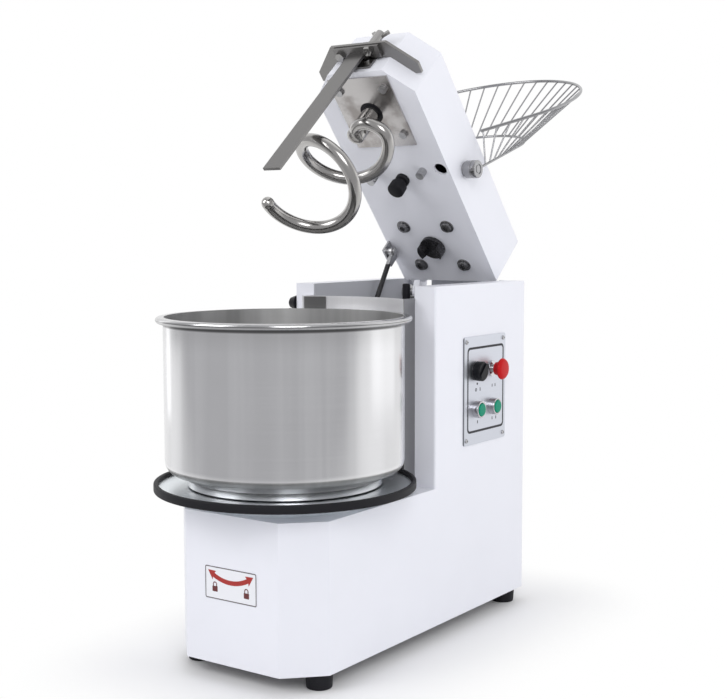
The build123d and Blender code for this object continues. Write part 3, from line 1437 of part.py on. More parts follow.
# Control panel on the right side
left_column = panel_y + control_left
right_column = panel_y + control_right
upper_row = panel_z + control_up
lower_row = panel_z + control_down
control_spots = [
    (left_column, upper_row),
    (right_column, upper_row),
    (left_column, lower_row),
    (right_column, lower_row),
]
panel_pitch_y = panel_width - 2 * panel_screw_inset
panel_pitch_z = panel_height - 2 * panel_screw_inset
with BuildPart() as control_panel:
    with BuildSketch(side_plane):
        with Locations((panel_y, panel_z)):
            RectangleRounded(panel_width, panel_height, panel_corner)
            with GridLocations(panel_pitch_y, panel_pitch_z, 2, 2):
                Circle(panel_screw_radius + screw_gap, mode=Mode.SUBTRACT)
        with Locations(*control_spots):
            Circle(control_hole + fit_gap, mode=Mode.SUBTRACT)
    extrude(amount=panel_thickness)
save(control_panel, "control_panel")

# Fasteners of the body: foot bolts with nuts, rear cover screws and panel screws
rear_face = Plane.XZ.offset(-base_back_y - rear_cover_thickness)
rear_pitch_x = rear_cover_width - rear_cover_lap
rear_pitch_z = rear_cover_height - rear_cover_lap
with BuildPart() as body_fasteners:
    with BuildSketch(side_plane.offset(panel_thickness)):
        with Locations((panel_y, panel_z)):
            with GridLocations(panel_pitch_y, panel_pitch_z, 2, 2):
                Circle(panel_screw_head)
    extrude(amount=panel_screw_head_height)
    fillet(body_fasteners.faces().group_by(Axis.X)[-1].edges(), panel_screw_head_height * 0.6)
    with BuildSketch(side_plane.offset(panel_thickness)):
        with Locations((panel_y, panel_z)):
            with GridLocations(panel_pitch_y, panel_pitch_z, 2, 2):
                Circle(panel_screw_radius)
    extrude(amount=-panel_thickness - 2 * sheet)
    with BuildSketch(rear_face):
        with Locations((0, rear_cover_z)):
            with GridLocations(rear_pitch_x, rear_pitch_z, 2, 2):
                Circle(panel_screw_head)
    extrude(amount=-panel_screw_head_height)
    fillet(body_fasteners.faces().group_by(Axis.Y)[-1].edges(), panel_screw_head_height * 0.6)
    with BuildSketch(rear_face):
        with Locations((0, rear_cover_z)):
            with GridLocations(rear_pitch_x, rear_pitch_z, 2, 2):
                Circle(panel_screw_radius)
    extrude(amount=rear_cover_thickness + 2 * sheet)
    with Locations(*[(x, y, foot_height * 0.6) for x, y in foot_spots]):
        Cylinder(foot_bolt_radius, foot_height * 0.4 + floor_thickness + 12, align=STANDING)
    with BuildSketch(Plane.XY.offset(foot_height + floor_thickness)):
        with Locations(*foot_spots):
            RegularPolygon(foot_bolt_radius * 1.8, 6)
    extrude(amount=8)
save(body_fasteners, "body_fasteners")

panel_face = side_plane.offset(panel_thickness)
with BuildPart() as control_sockets:
    with BuildSketch(panel_face):
        with Locations(*control_spots[:2]):
            Circle(collar_radius)
    extrude(amount=collar_height)
    with BuildSketch(panel_face):
        with Locations(*control_spots[2:]):
            Circle(bezel_radius)
    extrude(amount=bezel_height)
    with BuildSketch(panel_face):
        with Locations(*control_spots):
            Circle(control_hole)
    extrude(amount=-contact_set_back)
    with BuildSketch(panel_face.offset(-contact_set_back)):
        with Locations(*control_spots):
            Circle(control_hole - tube_wall)
    extrude(amount=contact_set_back + bezel_height, mode=Mode.SUBTRACT)
    with BuildSketch(panel_face.offset(button_floor)):
        with Locations(*control_spots[2:]):
            Circle(button_radius + touch_gap)
    extrude(amount=bezel_height, mode=Mode.SUBTRACT)
    fillet(control_sockets.faces().group_by(Axis.X)[-1].edges(), 1)
    with BuildSketch(panel_face.offset(-contact_set_back)):
        with Locations(*control_spots):
            Rectangle(contact_size, contact_size)
    extrude(amount=-contact_depth)
save(control_sockets, "control_sockets")

knob_base = panel_face.offset(collar_height + touch_gap)
with BuildPart() as selector_knob:
    with BuildSketch(knob_base):
        with Locations(control_spots[0]):
            Circle(selector_radius)
    extrude(amount=selector_height)
    chamfer(selector_knob.faces().sort_by(Axis.X)[-1].edges(), 2)
    with BuildSketch(knob_base.offset(selector_height - 2)):
        with Locations(control_spots[0]):
            SlotOverall(2 * selector_radius - 2, selector_grip_width, rotation=selector_angle)
    extrude(amount=selector_grip_height)
    with BuildSketch(knob_base):
        with Locations(control_spots[0]):
            Circle(stem_radius)
    extrude(amount=-contact_set_back / 2 - collar_height)
save(selector_knob, "selector_knob")

with BuildPart() as stop_button:
    with BuildSketch(panel_face.offset(collar_height + stop_travel + touch_gap)):
        with Locations(control_spots[1]):
            Circle(stop_neck_radius)
    extrude(amount=stop_neck_length - stop_travel, taper=-stop_neck_taper)
    with BuildSketch(panel_face.offset(collar_height + stop_neck_length)):
        with Locations(control_spots[1]):
            Circle(stop_radius)
    extrude(amount=stop_cap_height)
    fillet(stop_button.faces().sort_by(Axis.X)[-1].edges(), stop_cap_height * 0.5)
    with BuildSketch(panel_face.offset(collar_height + stop_neck_length)):
        with Locations(control_spots[1]):
            Circle(stem_radius)
    extrude(amount=-contact_set_back / 2 - collar_height - stop_neck_length)
save(stop_button, "stop_button")

for index, label in ((2, "start_button"), (3, "jog_button")):
    with BuildPart() as push_button:
        button_foot = panel_face.offset(button_floor + button_travel + touch_gap)
        with BuildSketch(button_foot):
            with Locations(control_spots[index]):
                Circle(button_radius)
        extrude(amount=bezel_height + button_proud - button_floor - button_travel)
        fillet(push_button.faces().sort_by(Axis.X)[-1].edges(), 2)
        with BuildSketch(button_foot):
            with Locations(control_spots[index]):
                Circle(stem_radius)
        extrude(amount=-contact_set_back / 2 - button_floor - button_travel)
    save(push_button, label)

# Bare pictogram plate on the front of the base
with BuildPart() as label_plate:
    with BuildSketch(Plane.XZ.offset(-base_front_y)):
        with Locations((0, label_z)):
            RectangleRounded(label_width, label_height, 3)
    extrude(amount=label_thickness)
save(label_plate, "label_plate")
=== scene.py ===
# %% [markdown]
# # A spiral dough mixer with a tilting head
# The machine is a painted sheet steel body that carries a turning stainless bowl. A head
# with the kneading spiral tilts up behind it, and a wire guard folds back over the head.
# The solid model comes in as a fixed frame in metres, so this lesson only dresses it:
# finishes, light and the fine pieces that a drawing leaves out.

# %% Load the solid model
import json
import math

import bmesh
import bpy
from mathutils import Matrix, Vector


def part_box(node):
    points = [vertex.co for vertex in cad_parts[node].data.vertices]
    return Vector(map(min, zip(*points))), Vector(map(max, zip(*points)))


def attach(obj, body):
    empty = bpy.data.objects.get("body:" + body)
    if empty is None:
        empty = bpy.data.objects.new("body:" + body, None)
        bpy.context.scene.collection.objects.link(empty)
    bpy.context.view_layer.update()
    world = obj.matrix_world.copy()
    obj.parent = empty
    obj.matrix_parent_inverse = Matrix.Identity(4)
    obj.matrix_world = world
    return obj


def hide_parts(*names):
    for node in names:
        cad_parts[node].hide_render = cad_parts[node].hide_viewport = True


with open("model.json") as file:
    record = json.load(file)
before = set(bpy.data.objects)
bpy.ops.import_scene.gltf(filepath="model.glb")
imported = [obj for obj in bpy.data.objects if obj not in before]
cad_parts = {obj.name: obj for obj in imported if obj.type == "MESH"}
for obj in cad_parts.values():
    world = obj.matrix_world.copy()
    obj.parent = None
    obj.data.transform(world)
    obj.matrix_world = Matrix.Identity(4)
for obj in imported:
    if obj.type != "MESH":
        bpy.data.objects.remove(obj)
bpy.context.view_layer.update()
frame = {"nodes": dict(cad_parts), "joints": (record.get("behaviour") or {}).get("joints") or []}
nodes = frame["nodes"]
joints = {joint["name"]: joint for joint in frame["joints"]}
for leftover in ("Cube", "Light", "Camera"):
    if leftover in bpy.data.objects:
        bpy.data.objects.remove(bpy.data.objects[leftover])

# %% [markdown]
# ## Camera
# The photographer stood to the right of the bowl, a little above it, with a short
# telephoto lens. A camera can be set by eye, but the straight edges of the body fix its
# place, its three turns and its lens together, so those were solved for and are only
# written down here.

# %% Camera
camera_place = (1.3468, -1.99144, 0.7240)
camera_heading = 35.17
camera_pitch = 84.8
camera_roll = -0.14
lens_data = bpy.data.cameras.new("photo_lens")
lens_data.sensor_width = 36
lens_data.lens = 64.34
camera = bpy.data.objects.new("photo_camera", lens_data)
bpy.context.scene.collection.objects.link(camera)
camera_turn = Matrix.Rotation(math.radians(camera_heading), 4, "Z")
camera_turn = camera_turn @ Matrix.Rotation(math.radians(camera_pitch), 4, "X")
camera_turn = camera_turn @ Matrix.Rotation(math.radians(camera_roll), 4, "Z")
camera.matrix_world = Matrix.Translation(camera_place) @ camera_turn
bpy.context.scene.camera = camera
bpy.context.scene.view_settings.view_transform = "Standard"
print("lens:", round(lens_data.lens, 2), "mm")

# %% [markdown]
# ## Sockets as sums
# A shader or a geometry tree is a sum of small nodes. Linking them one by one hides the
# sum, so this class wraps one socket, and a pattern can be written as an expression such
# as `0.3 + 0.1 * grain`. Its `node` method makes any other kind of node: type, settings,
# then the values of its sockets.

# %% Socket class
class Flow:
    """One socket in a node tree that can be added, multiplied and fed to other nodes."""

    def __init__(self, tree, socket=None):
        self.tree = tree
        self.socket = socket

    def node(self, kind, settings=None, inputs=None, output=0):
        made = self.tree.nodes.new(kind)
        for key, value in (settings or {}).items():
            if key == "stops":
                ramp = made.color_ramp.elements
                while len(ramp) < len(value):
                    ramp.new(0.5)
                for element, (place, colour) in zip(ramp, value):
                    element.position = place
                    element.color = colour
            else:
                setattr(made, key, value)
        for key, value in (inputs or {}).items():
            if isinstance(value, Flow):
                self.tree.links.new(value.socket, made.inputs[key])
            else:
                made.inputs[key].default_value = value
        return Flow(self.tree, made.outputs[output])

    def sum_node(self, operation, first, second=0.0, third=0.0):
        return self.node("ShaderNodeMath", {"operation": operation}, {0: first, 1: second, 2: third})

    def __add__(self, other):
        return self.sum_node("ADD", self, other)

    def __radd__(self, other):
        return self.sum_node("ADD", other, self)

    def __sub__(self, other):
        return self.sum_node("SUBTRACT", self, other)

    def __rsub__(self, other):
        return self.sum_node("SUBTRACT", other, self)

    def __mul__(self, other):
        return self.sum_node("MULTIPLY", self, other)

    def __rmul__(self, other):
        return self.sum_node("MULTIPLY", other, self)

    def __truediv__(self, other):
        return self.sum_node("DIVIDE", self, other)

    def noise(self, place, scale, detail=2.0, output=0):
        inputs = {"Vector": place, "Scale": scale, "Detail": detail}
        return self.node("ShaderNodeTexNoise", {"noise_dimensions": "3D"}, inputs, output)

    def vector(self, operation, first, second=None, third=None, output=0):
        inputs = {0: first, 1: second, 2: third}
        inputs = {key: value for key, value in inputs.items() if value is not None}
        return self.node("ShaderNodeVectorMath", {"operation": operation}, inputs, output)

    def length(self, arrow):
        return self.vector("LENGTH", arrow, output=1)

    def dot(self, arrow, way):
        return self.vector("DOT_PRODUCT", arrow, way, output=1)

    def axis(self, place, number):
        return self.node("ShaderNodeSeparateXYZ", None, {"Vector": place}, number)

    def blend(self, share, first, second):
        settings = {"data_type": "RGBA"}
        return self.node("ShaderNodeMix", settings, {0: share, 6: first, 7: second}, 2)

    def into(self, shader, name):
        self.tree.links.new(self.socket, shader.inputs[name])


print("socket class ready")

# %% [markdown]
# ## Finish helpers
# Every finish starts from one principled shader. Numbers that are the same all over sit
# on the shader itself; only what varies over the surface comes from nodes. Patterns could
# follow an unwrapped map, but these solids have none, so all of them read Object
# coordinates. Those are metres here: a noise scale of 500 gives grains of about two
# millimetres.

# %% Finish helpers
def new_finish(name, colour, metallic, roughness):
    """A principled material, its shader, a start for nodes and the place on the piece."""
    finish = bpy.data.materials.new(name)
    finish.use_nodes = True
    tree = finish.node_tree
    shader = tree.nodes["Principled BSDF"]
    shader.inputs["Base Color"].default_value = (*colour, 1)
    shader.inputs["Metallic"].default_value = metallic
    shader.inputs["Roughness"].default_value = roughness
    start = Flow(tree)
    place = start.node("ShaderNodeTexCoord", output=3)
    return finish, shader, start, place


def stretched(start, place, scale):
    """The place on a piece with each direction scaled, for grain that runs one way."""
    return start.node("ShaderNodeMapping", None, {"Vector": place, "Scale": scale})


def bump(start, shader, height, strength, distance):
    """Relief from a pattern, with its depth in metres."""
    inputs = {"Height": height, "Strength": strength, "Distance": distance}
    start.node("ShaderNodeBump", None, inputs).into(shader, "Normal")


def between(start, value, low, high):
    """Nothing below low, one above high and a soft step in between."""
    settings = {"interpolation_type": "SMOOTHSTEP"}
    return start.node("ShaderNodeMapRange", settings, {0: value, 1: low, 2: high})


def set_specular(finish, level):
    """How strongly a surface that isn't metal mirrors the room."""
    finish.node_tree.nodes["Principled BSDF"].inputs["Specular IOR Level"].default_value = level


def grey(level):
    """A colour without a tint."""
    return (level, level, level, 1)


def shades(colour, amount):
    """A darker and a lighter shade of one colour."""
    dark = tuple(max(part * (1 - amount), 0) for part in colour)
    light = tuple(min(part * (1 + amount), 1) for part in colour)
    return (*dark, 1), (*light, 1)


print("finish helpers ready")

# %% [markdown]
# ## Painted steel
# The body is powder coated: a hard, slightly wavy skin known as orange peel. A flat
# white would look like card, so one fine noise drives the bump, and one broad noise
# shifts colour and gloss a little, as hands and cleaning do. Inside the column the coat
# is painted a darker grey as painted shade, for the light that its walls and the raised
# head keep out; a box of soft steps marks that space in the frame's metres.

# %% Painted steel
coat_white = (0.80, 0.81, 0.87)
# Where the painted shade inside the column lies, and its grey.
well_side = (0.1100, 0.1120)
well_back = (0.2426, 0.2434)
well_floor = (0.30, 0.32)
well_painted_shade = (0.52, 0.53, 0.57, 1)


def painted(name, colour, roughness, peel=380.0, spread=0.025, shade_well=False):
    """Powder coat; for the body it also paints shade into the inside of the column."""
    finish, shader, start, place = new_finish(name, colour, 0.0, roughness)
    broad = start.noise(place, 7.0, 3.0)
    fine = start.noise(place, peel, 2.0)
    dark, light = shades(colour, spread)
    shade = start.blend(broad, dark, light)
    # Painted shade: the column's inside is greyed in the colour, for light its walls and the raised head keep
    # out.
    if shade_well:
        across = start.sum_node("ABSOLUTE", start.axis(place, 0))
        shaded_well_share = 1.0 - between(start, across, *well_side)
        shaded_well_share = shaded_well_share * (1.0 - between(start, start.axis(place, 1), *well_back))
        shaded_well_share = shaded_well_share * between(start, start.axis(place, 2), *well_floor)
        shade = start.blend(shaded_well_share, shade, well_painted_shade)
    shade.into(shader, "Base Color")
    (roughness - 0.06 + 0.12 * broad + 0.05 * fine).into(shader, "Roughness")
    bump(start, shader, fine, 0.10, 0.0004)
    return finish


white_paint = painted("white_paint", coat_white, 0.34)
body_paint = painted("body_paint", coat_white, 0.34, shade_well=True)
black_paint = painted("black_paint", (0.012, 0.012, 0.014), 0.28, 260.0, 0.3)
print("paints:", white_paint.name, body_paint.name, black_paint.name)

# %% [markdown]
# ## Brushed steel
# A belt leaves scratches in one direction. Noise stretched along that direction gives
# them: it lifts the roughness line by line and cuts a bump too shallow to see as relief.
# Anisotropic shading could do it too, but noise keeps single scratches visible up close.
# A second, broad noise leaves faint clouds like the ones a cloth leaves on steel.

# %% Brushed steel
stain_brown = (0.13, 0.105, 0.09, 1)


def brushed(name, colour, roughness, grain, depth=0.00002, cloud=0.10, lift=0.12, edge=None, stain=0.0):
    """Belt ground steel; edge is (axis, clear at, dark at) of a band of painted shade, stain is a share of
    brown clouds.
    """
    finish, shader, start, place = new_finish(name, colour, 1.0, roughness)
    lines = start.noise(stretched(start, place, grain), 1.0, 3.0)
    clouds = start.noise(place, 11.0, 3.0)
    dark, light = shades(colour, 0.04 + 0.5 * lift)
    shade = start.blend(0.6 * lines + 0.4 * clouds, dark, light)
    if stain:
        spots = between(start, start.noise(place, 17.0, 4.0), 0.46, 0.66)
        shade = start.blend(stain * spots, shade, stain_brown)
    # Painted shade: a dark band along one edge stands in for the shade of the fold it sits in.
    if edge:
        shadow = between(start, start.axis(place, edge[0]), edge[1], edge[2])
        shade = start.blend(0.68 * shadow, shade, grey(0.05))
    shade.into(shader, "Base Color")
    (roughness - 0.6 * lift + lift * lines + cloud * (clouds - 0.4)).into(shader, "Roughness")
    bump(start, shader, lines, 0.25, depth)
    return finish


print("brushed steel ready")

# %% [markdown]
# ## Steel of the bowl
# A bowl is spun from sheet on a lathe, so its scratches run round, and washing leaves
# streaks that run down. It could be split in zones with a material each, but then every
# seam would be hard. Here one finish reads the height and the distance from the bowl's
# axis, and soft steps at named places tell the matt inside and the foot apart. They also
# place painted light: painted shade towards the top of the wall, in a dark line below
# the rim and on the rolled rim, and a thin dark painted reflection on the rim's curve.

# %% Steel of the bowl
round_grain = (4.0, 4.0, 900.0)
run_grain = (24.0, 24.0, 0.6)
bowl_wall = (0.1983, 0.1993)
bowl_foot_low = (0.3305, 0.333)
bowl_foot_high = (0.336, 0.350)
# Heights of painted light on the outer wall: shade towards the top and under the rim, the rim, and a dark
# reflection.
upper_wall_painted_shade = (0.530, 0.574)
under_rim_painted_shade = (0.5690, 0.5725)
bowl_rim = (0.5760, 0.5775)
rim_reflection_low = (0.5795, 0.5801)
rim_reflection_high = (0.5807, 0.5813)
rim_reflection_reach = (0.2030, 0.2045)


def spun(name, colour, roughness, axis_y):
    """Steel of the spun bowl: matt inside, a bright foot, painted shade on the upper wall, under the rim and
    on it, and a painted dark reflection on the rim.
    """
    finish, shader, start, place = new_finish(name, colour, 1.0, roughness)
    lines = start.noise(stretched(start, place, round_grain), 1.0, 3.0)
    runs = start.noise(stretched(start, place, run_grain), 1.0, 3.0)
    streaks = between(start, runs, 0.36, 0.66)
    clouds = start.noise(place, 11.0, 3.0)
    level = start.axis(place, 2)
    from_axis = start.vector("SUBTRACT", place, (0, axis_y, 0))
    reach = start.length(start.vector("MULTIPLY", from_axis, (1, 1, 0)))
    outside = between(start, reach, *bowl_wall)
    inside = 1.0 - outside
    rim = between(start, level, *bowl_rim)
    # Painted shade: a dark line just under the rolled rim, where the rim keeps light off the wall.
    under_rim_shade = between(start, level, *under_rim_painted_shade) * (1.0 - rim) * outside
    foot = between(start, level, *bowl_foot_low) * (1.0 - between(start, level, *bowl_foot_high)) * outside
    # Painted reflection: a thin dark line on the outer curve of the rolled rim.
    rim_dark_reflection = between(start, level, *rim_reflection_low) * (1.0 - between(start, level, *rim_reflection_high))
    rim_dark_reflection = rim_dark_reflection * between(start, reach, *rim_reflection_reach)
    dark, light = shades(colour, 0.12)
    shade = start.blend(0.35 * lines + 0.25 * clouds + 0.4 * streaks, dark, light)
    # Painted shade: the outer wall darkens towards the top, below the rim.
    shade = start.blend(0.25 * between(start, level, *upper_wall_painted_shade), shade, grey(0.32))
    shade = start.blend(0.8 * foot, shade, (0.95, 0.95, 0.96, 1))
    # Painted shade: the rolled rim is made a little darker than the wall.
    shade = start.blend(0.2 * rim, shade, grey(0.12))
    shade = start.blend(0.7 * rim_dark_reflection, shade, grey(0.05))
    shade = start.blend(inside, shade, start.blend(streaks, grey(0.44), grey(0.57)))
    start.blend(0.85 * under_rim_shade, shade, grey(0.03)).into(shader, "Base Color")
    gloss = roughness - 0.07 + 0.12 * lines + 0.1 * (clouds - 0.4)
    (gloss + 0.22 * inside + 0.1 * foot).into(shader, "Roughness")
    bump(start, shader, lines, 0.25, 0.00002)
    return finish


bowl_axis_y = joints["bowl_spin"]["pos_m"][1]
bowl_steel = spun("bowl_steel", (0.72, 0.72, 0.735), 0.19, bowl_axis_y)
print("bowl axis at y", round(bowl_axis_y, 4))

# %% [markdown]
# ## Cast and plated metal
# Sand leaves cast iron with an even roughness, and rubber or moulded plastic has one of
# its own, so a single finish with a fine noise serves all three. Zinc plate grows in flat
# crystals. A Voronoi texture gives each cell a colour of its own, and one part of that
# colour is used as the crystal's shade.

# %% Cast and plated metal
def cast(name, colour, roughness, metallic, grain=420.0, strength=0.25):
    """Rough metal, rubber or plastic with an even fine texture."""
    finish, shader, start, place = new_finish(name, colour, metallic, roughness)
    fine = start.noise(place, grain, 3.0)
    broad = start.noise(place, 24.0, 2.0)
    dark, light = shades(colour, 0.18)
    start.blend(0.5 * fine + 0.5 * broad, dark, light).into(shader, "Base Color")
    (roughness - 0.08 + 0.10 * fine + 0.08 * broad).into(shader, "Roughness")
    bump(start, shader, fine, strength, 0.0003)
    return finish


def plated(name, colour, roughness):
    """Zinc plate: flat crystals, each with its own shade."""
    finish, shader, start, place = new_finish(name, colour, 1.0, roughness)
    crystals = start.node("ShaderNodeTexVoronoi", None, {"Vector": place, "Scale": 240.0}, 1)
    shade = start.node("ShaderNodeSeparateColor", None, {"Color": crystals})
    fine = start.noise(place, 700.0)
    dark, light = shades(colour, 0.12)
    start.blend(shade, dark, light).into(shader, "Base Color")
    (roughness + 0.10 * (shade - 0.5) + 0.06 * fine).into(shader, "Roughness")
    bump(start, shader, fine, 0.12, 0.0001)
    return finish


zinc_plate = plated("zinc_plate", (0.46, 0.46, 0.47), 0.34)
cast_iron = cast("cast_iron", (0.075, 0.076, 0.08), 0.58, 0.6)
print("cast and plated:", cast_iron.name, zinc_plate.name)

# %% [markdown]
# ## Metals of this machine
# Each metal piece has its own grain. The three grain numbers are scales along x, y and z:
# a small one lets the scratches run that way. The panel and the cover also get a band of
# painted shade at one edge, where they sit in a fold of the body.

# %% Metals of this machine
fine_grain = (90.0, 90.0, 90.0)
soft_grain = (60.0, 60.0, 60.0)
turned_grain = (300.0, 300.0, 300.0)
upright_grain = (900.0, 900.0, 5.0)
polish = 0.000002
ring_steel = brushed("ring_steel", (0.70, 0.70, 0.715), 0.19, round_grain)
deck_steel = brushed("deck_steel", (0.84, 0.88, 0.92), 0.34, soft_grain, 0.00001, 0.06)
# The cover gets a band of painted shade at its right edge.
cover_steel = brushed("cover_steel", (0.86, 0.86, 0.88), 0.42, upright_grain, edge=(0, 0.1097, 0.1107))
plate_steel = brushed("plate_steel", (0.53, 0.515, 0.51), 0.24, (5.0, 700.0, 700.0), stain=0.55)
bar_steel = brushed("bar_steel", (0.225, 0.22, 0.218), 0.34, (900.0, 60.0, 60.0))
bracket_steel = brushed("bracket_steel", (0.26, 0.255, 0.25), 0.34, (6.0, 600.0, 600.0))
spiral_steel = brushed("spiral_steel", (0.44, 0.43, 0.42), 0.18, soft_grain, polish, 0.05, 0.03)
shaft_steel = brushed("shaft_steel", (0.36, 0.36, 0.37), 0.32, turned_grain)
bolt_steel = brushed("bolt_steel", (0.20, 0.20, 0.205), 0.28, turned_grain)
screw_steel = brushed("screw_steel", (0.34, 0.335, 0.33), 0.22, fine_grain, polish, 0.05, 0.04)
wire_chrome = brushed("wire_chrome", (0.34, 0.34, 0.35), 0.22, fine_grain, polish, 0.05, 0.04)
# The panel gets a band of painted shade along its front edge.
panel_steel = brushed("panel_steel", (0.61, 0.63, 0.69), 0.42, (900.0, 6.0, 900.0), edge=(1, 0.0148, 0.0130))
plate_aluminium = brushed("plate_aluminium", (0.62, 0.62, 0.65), 0.40, (7.0, 900.0, 900.0))
print("metals:", bowl_steel.name, spiral_steel.name, wire_chrome.name)

# %% [markdown]
# ## Rubber and plastic
# Rubber scatters light and shows a fine blooming; moulded plastic is smoother and takes
# a small highlight. Both come from the same even texture with other numbers. Rubber and
# coloured plastic mirror less than the shader's usual surface, and a white room would
# wash them out, so their specular level is set lower.

# %% Rubber and plastic
black_rubber = cast("black_rubber", (0.010, 0.010, 0.013), 0.55, 0.0, 500.0, 0.2)
black_plastic = cast("black_plastic", (0.010, 0.010, 0.013), 0.36, 0.0, 800.0, 0.08)
moulded_black = cast("moulded_black", (0.013, 0.013, 0.015), 0.26, 0.0, 300.0, 0.35)
green_plastic = cast("green_plastic", (0.004, 0.25, 0.15), 0.28, 0.0, 900.0, 0.04)
for plastic, level in ((black_rubber, 0.2), (black_plastic, 0.13), (green_plastic, 0.12)):
    set_specular(plastic, level)
print("plastics:", black_plastic.name, green_plastic.name)

# %% [markdown]
# ## Two finishes on one solid
# Some solids are made of two materials: the black gas spring rod ends in a zinc plated
# eye, the red stop button stands on a steel stem, and one of the four control sockets
# is black. The faces could be told apart by hand, but a mask that rises from 0 to 1 at a
# set place along one direction needs no picking. It drives colour, metallic and roughness
# together.

# %% Two finishes on one solid
part_blur = 0.0006


def two_part(name, way, edge, first, second):
    """A finish that changes at one place along a direction: colour, metallic and roughness of each."""
    finish, shader, start, place = new_finish(name, *first)
    mask = between(start, start.dot(place, way), edge - part_blur, edge + part_blur)
    fine = start.noise(place, 700.0)
    shade = start.blend(mask, (*first[0], 1), (*second[0], 1))
    start.blend(0.3 * fine, shade, grey(0.02)).into(shader, "Base Color")
    (first[1] + (second[1] - first[1]) * mask).into(shader, "Metallic")
    (first[2] + (second[2] - first[2]) * mask + 0.1 * (fine - 0.5)).into(shader, "Roughness")
    bump(start, shader, fine, 0.08, 0.0002)
    return finish


black = ((0.011, 0.011, 0.014), 0.0, 0.34)
zinc = ((0.54, 0.54, 0.55), 1.0, 0.32)
red = ((0.60, 0.010, 0.013), 0.0, 0.30)
bright = ((0.62, 0.61, 0.63), 1.0, 0.18)
eye_length = 0.034
stop_head = 0.0192
selector_edge = 0.385
rod_black = two_part("rod_black", (0, 0, 1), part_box("strut_rod")[1].z - eye_length, black, zinc)
stop_red = two_part("stop_red", (1, 0, 0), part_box("stop_button")[1].x - stop_head, zinc, red)
socket_chrome = two_part("socket_chrome", (0, -1, 1), selector_edge, bright, black)
set_specular(stop_red, 0.1)
print("two-part finishes:", rod_black.name, stop_red.name, socket_chrome.name)

# %% [markdown]
# ## Smoothing the solid pieces
# Sheet steel has crisp folds and round walls, but the solids arrive as loose triangles
# with flat faces. Smoothing a mesh by hand would have to be done for every piece, so a
# small geometry tree does it: it merges the corners and smooths every edge that is
# flatter than a set angle. Round walls then shine without facets, and folds stay crisp.

# %% Smoothing tree
def socket_value(modifier, tree, name, value):
    """Set a named input of a geometry tree by the socket's identifier."""
    for item in tree.interface.items_tree:
        if item.name == name and item.in_out == "INPUT":
            modifier[item.identifier] = value


def new_tree(name, inputs):
    """A geometry tree with a mesh in, a mesh out and named inputs for its sizes."""
    tree = bpy.data.node_groups.new(name, "GeometryNodeTree")
    tree.interface.new_socket(name="Geometry", in_out="INPUT", socket_type="NodeSocketGeometry")
    tree.interface.new_socket(name="Geometry", in_out="OUTPUT", socket_type="NodeSocketGeometry")
    for label, (kind, value) in inputs.items():
        made = tree.interface.new_socket(name=label, in_out="INPUT", socket_type=kind)
        if value is not None:
            made.default_value = value
    entry = tree.nodes.new("NodeGroupInput")
    sockets = {label: Flow(tree, entry.outputs[label]) for label in ("Geometry", *inputs)}
    return tree, Flow(tree), sockets


def end_tree(tree, shape):
    """Link the last shape to the tree's output."""
    tree.links.new(shape.socket, tree.nodes.new("NodeGroupOutput").inputs[0])


fold_limit = math.radians(28)
same_corner = 0.00001
smooth_tree, sm, sm_in = new_tree("smooth_folds", {"Angle": ("NodeSocketFloat", fold_limit)})
near = {"Geometry": sm_in["Geometry"], "Distance": same_corner}
merged = sm.node("GeometryNodeMergeByDistance", None, near)
cleared = sm.node("GeometryNodeRemoveAttribute", None, {"Geometry": merged, "Name": "custom_normal"})
rounded = sm.node("GeometryNodeSetShadeSmooth", {"domain": "FACE"}, {"Geometry": cleared})
fold_angle = sm.node("GeometryNodeInputMeshEdgeAngle")
flat_enough = sm.node("FunctionNodeCompare", {"operation": "LESS_THAN"}, {0: fold_angle, 1: sm_in["Angle"]})
by_edge = {"Geometry": rounded, "Shade Smooth": flat_enough}
end_tree(smooth_tree, sm.node("GeometryNodeSetShadeSmooth", {"domain": "EDGE"}, by_edge))
print("smoothing tree:", len(smooth_tree.nodes), "nodes")

# %% [markdown]
# ## Dressing the solid pieces
# Each solid piece takes the finish of the real one. Finishes could be set one line at a
# time, but one list of finish and wearers is easier to read, and it shows at once which
# piece was left out.

# %% Finishes of the solid pieces
worn_by = {
    body_paint: ["body_shell"],
    white_paint: ["rear_cover", "hinge_arms", "head_shell", "head_underside"],
    deck_steel: ["deck_plate"],
    black_paint: ["strut_tube"],
    bowl_steel: ["bowl"],
    ring_steel: ["turntable", "bowl_foot_ring"],
    cover_steel: ["front_cover"],
    plate_steel: ["spiral_plate"],
    bracket_steel: ["breaker_bracket"],
    bar_steel: ["breaker_bar"],
    spiral_steel: ["spiral_hook"],
    panel_steel: ["control_panel"],
    plate_aluminium: ["label_plate", "gear_motor"],
    socket_chrome: ["control_sockets"],
    wire_chrome: ["guard_hubs", "guard_rings", "guard_wires"],
    zinc_plate: [
        "floor_plate", "body_fasteners", "column_plates", "strut_anchor", "plate_screws",
        "strut_bracket", "latch_studs",
    ],
    shaft_steel: [
        "frame_bearings", "bowl_chain", "hinge_shaft", "bowl_spindle", "main_shaft", "head_chain",
        "guard_pins", "input_shaft", "spiral_shaft",
    ],
    bolt_steel: ["housing_bolts"],
    screw_steel: ["bracket_bolts"],
    rod_black: ["strut_rod"],
    cast_iron: ["spindle_housing", "lower_coupling", "motor_pulley", "drive_housings"],
    black_rubber: ["rubber_feet", "deck_edge_trim", "drive_belt", "spiral_seal", "head_bumper"],
    black_plastic: ["cable_gland", "interlock_switch", "lock_guide", "lock_rod", "selector_knob"],
    moulded_black: ["upper_coupling"],
    stop_red: ["stop_button"],
    green_plastic: ["start_button", "jog_button"],
}
dressed = set()
for finish, wearers in worn_by.items():
    for wearer in wearers:
        solid = nodes[wearer]
        solid.data.materials.clear()
        solid.data.materials.append(finish)
        modifier = solid.modifiers.new("smooth_folds", "NODES")
        modifier.node_group = smooth_tree
        dressed.add(wearer)
print("dressed:", len(dressed), "left:", sorted(set(nodes) - dressed))

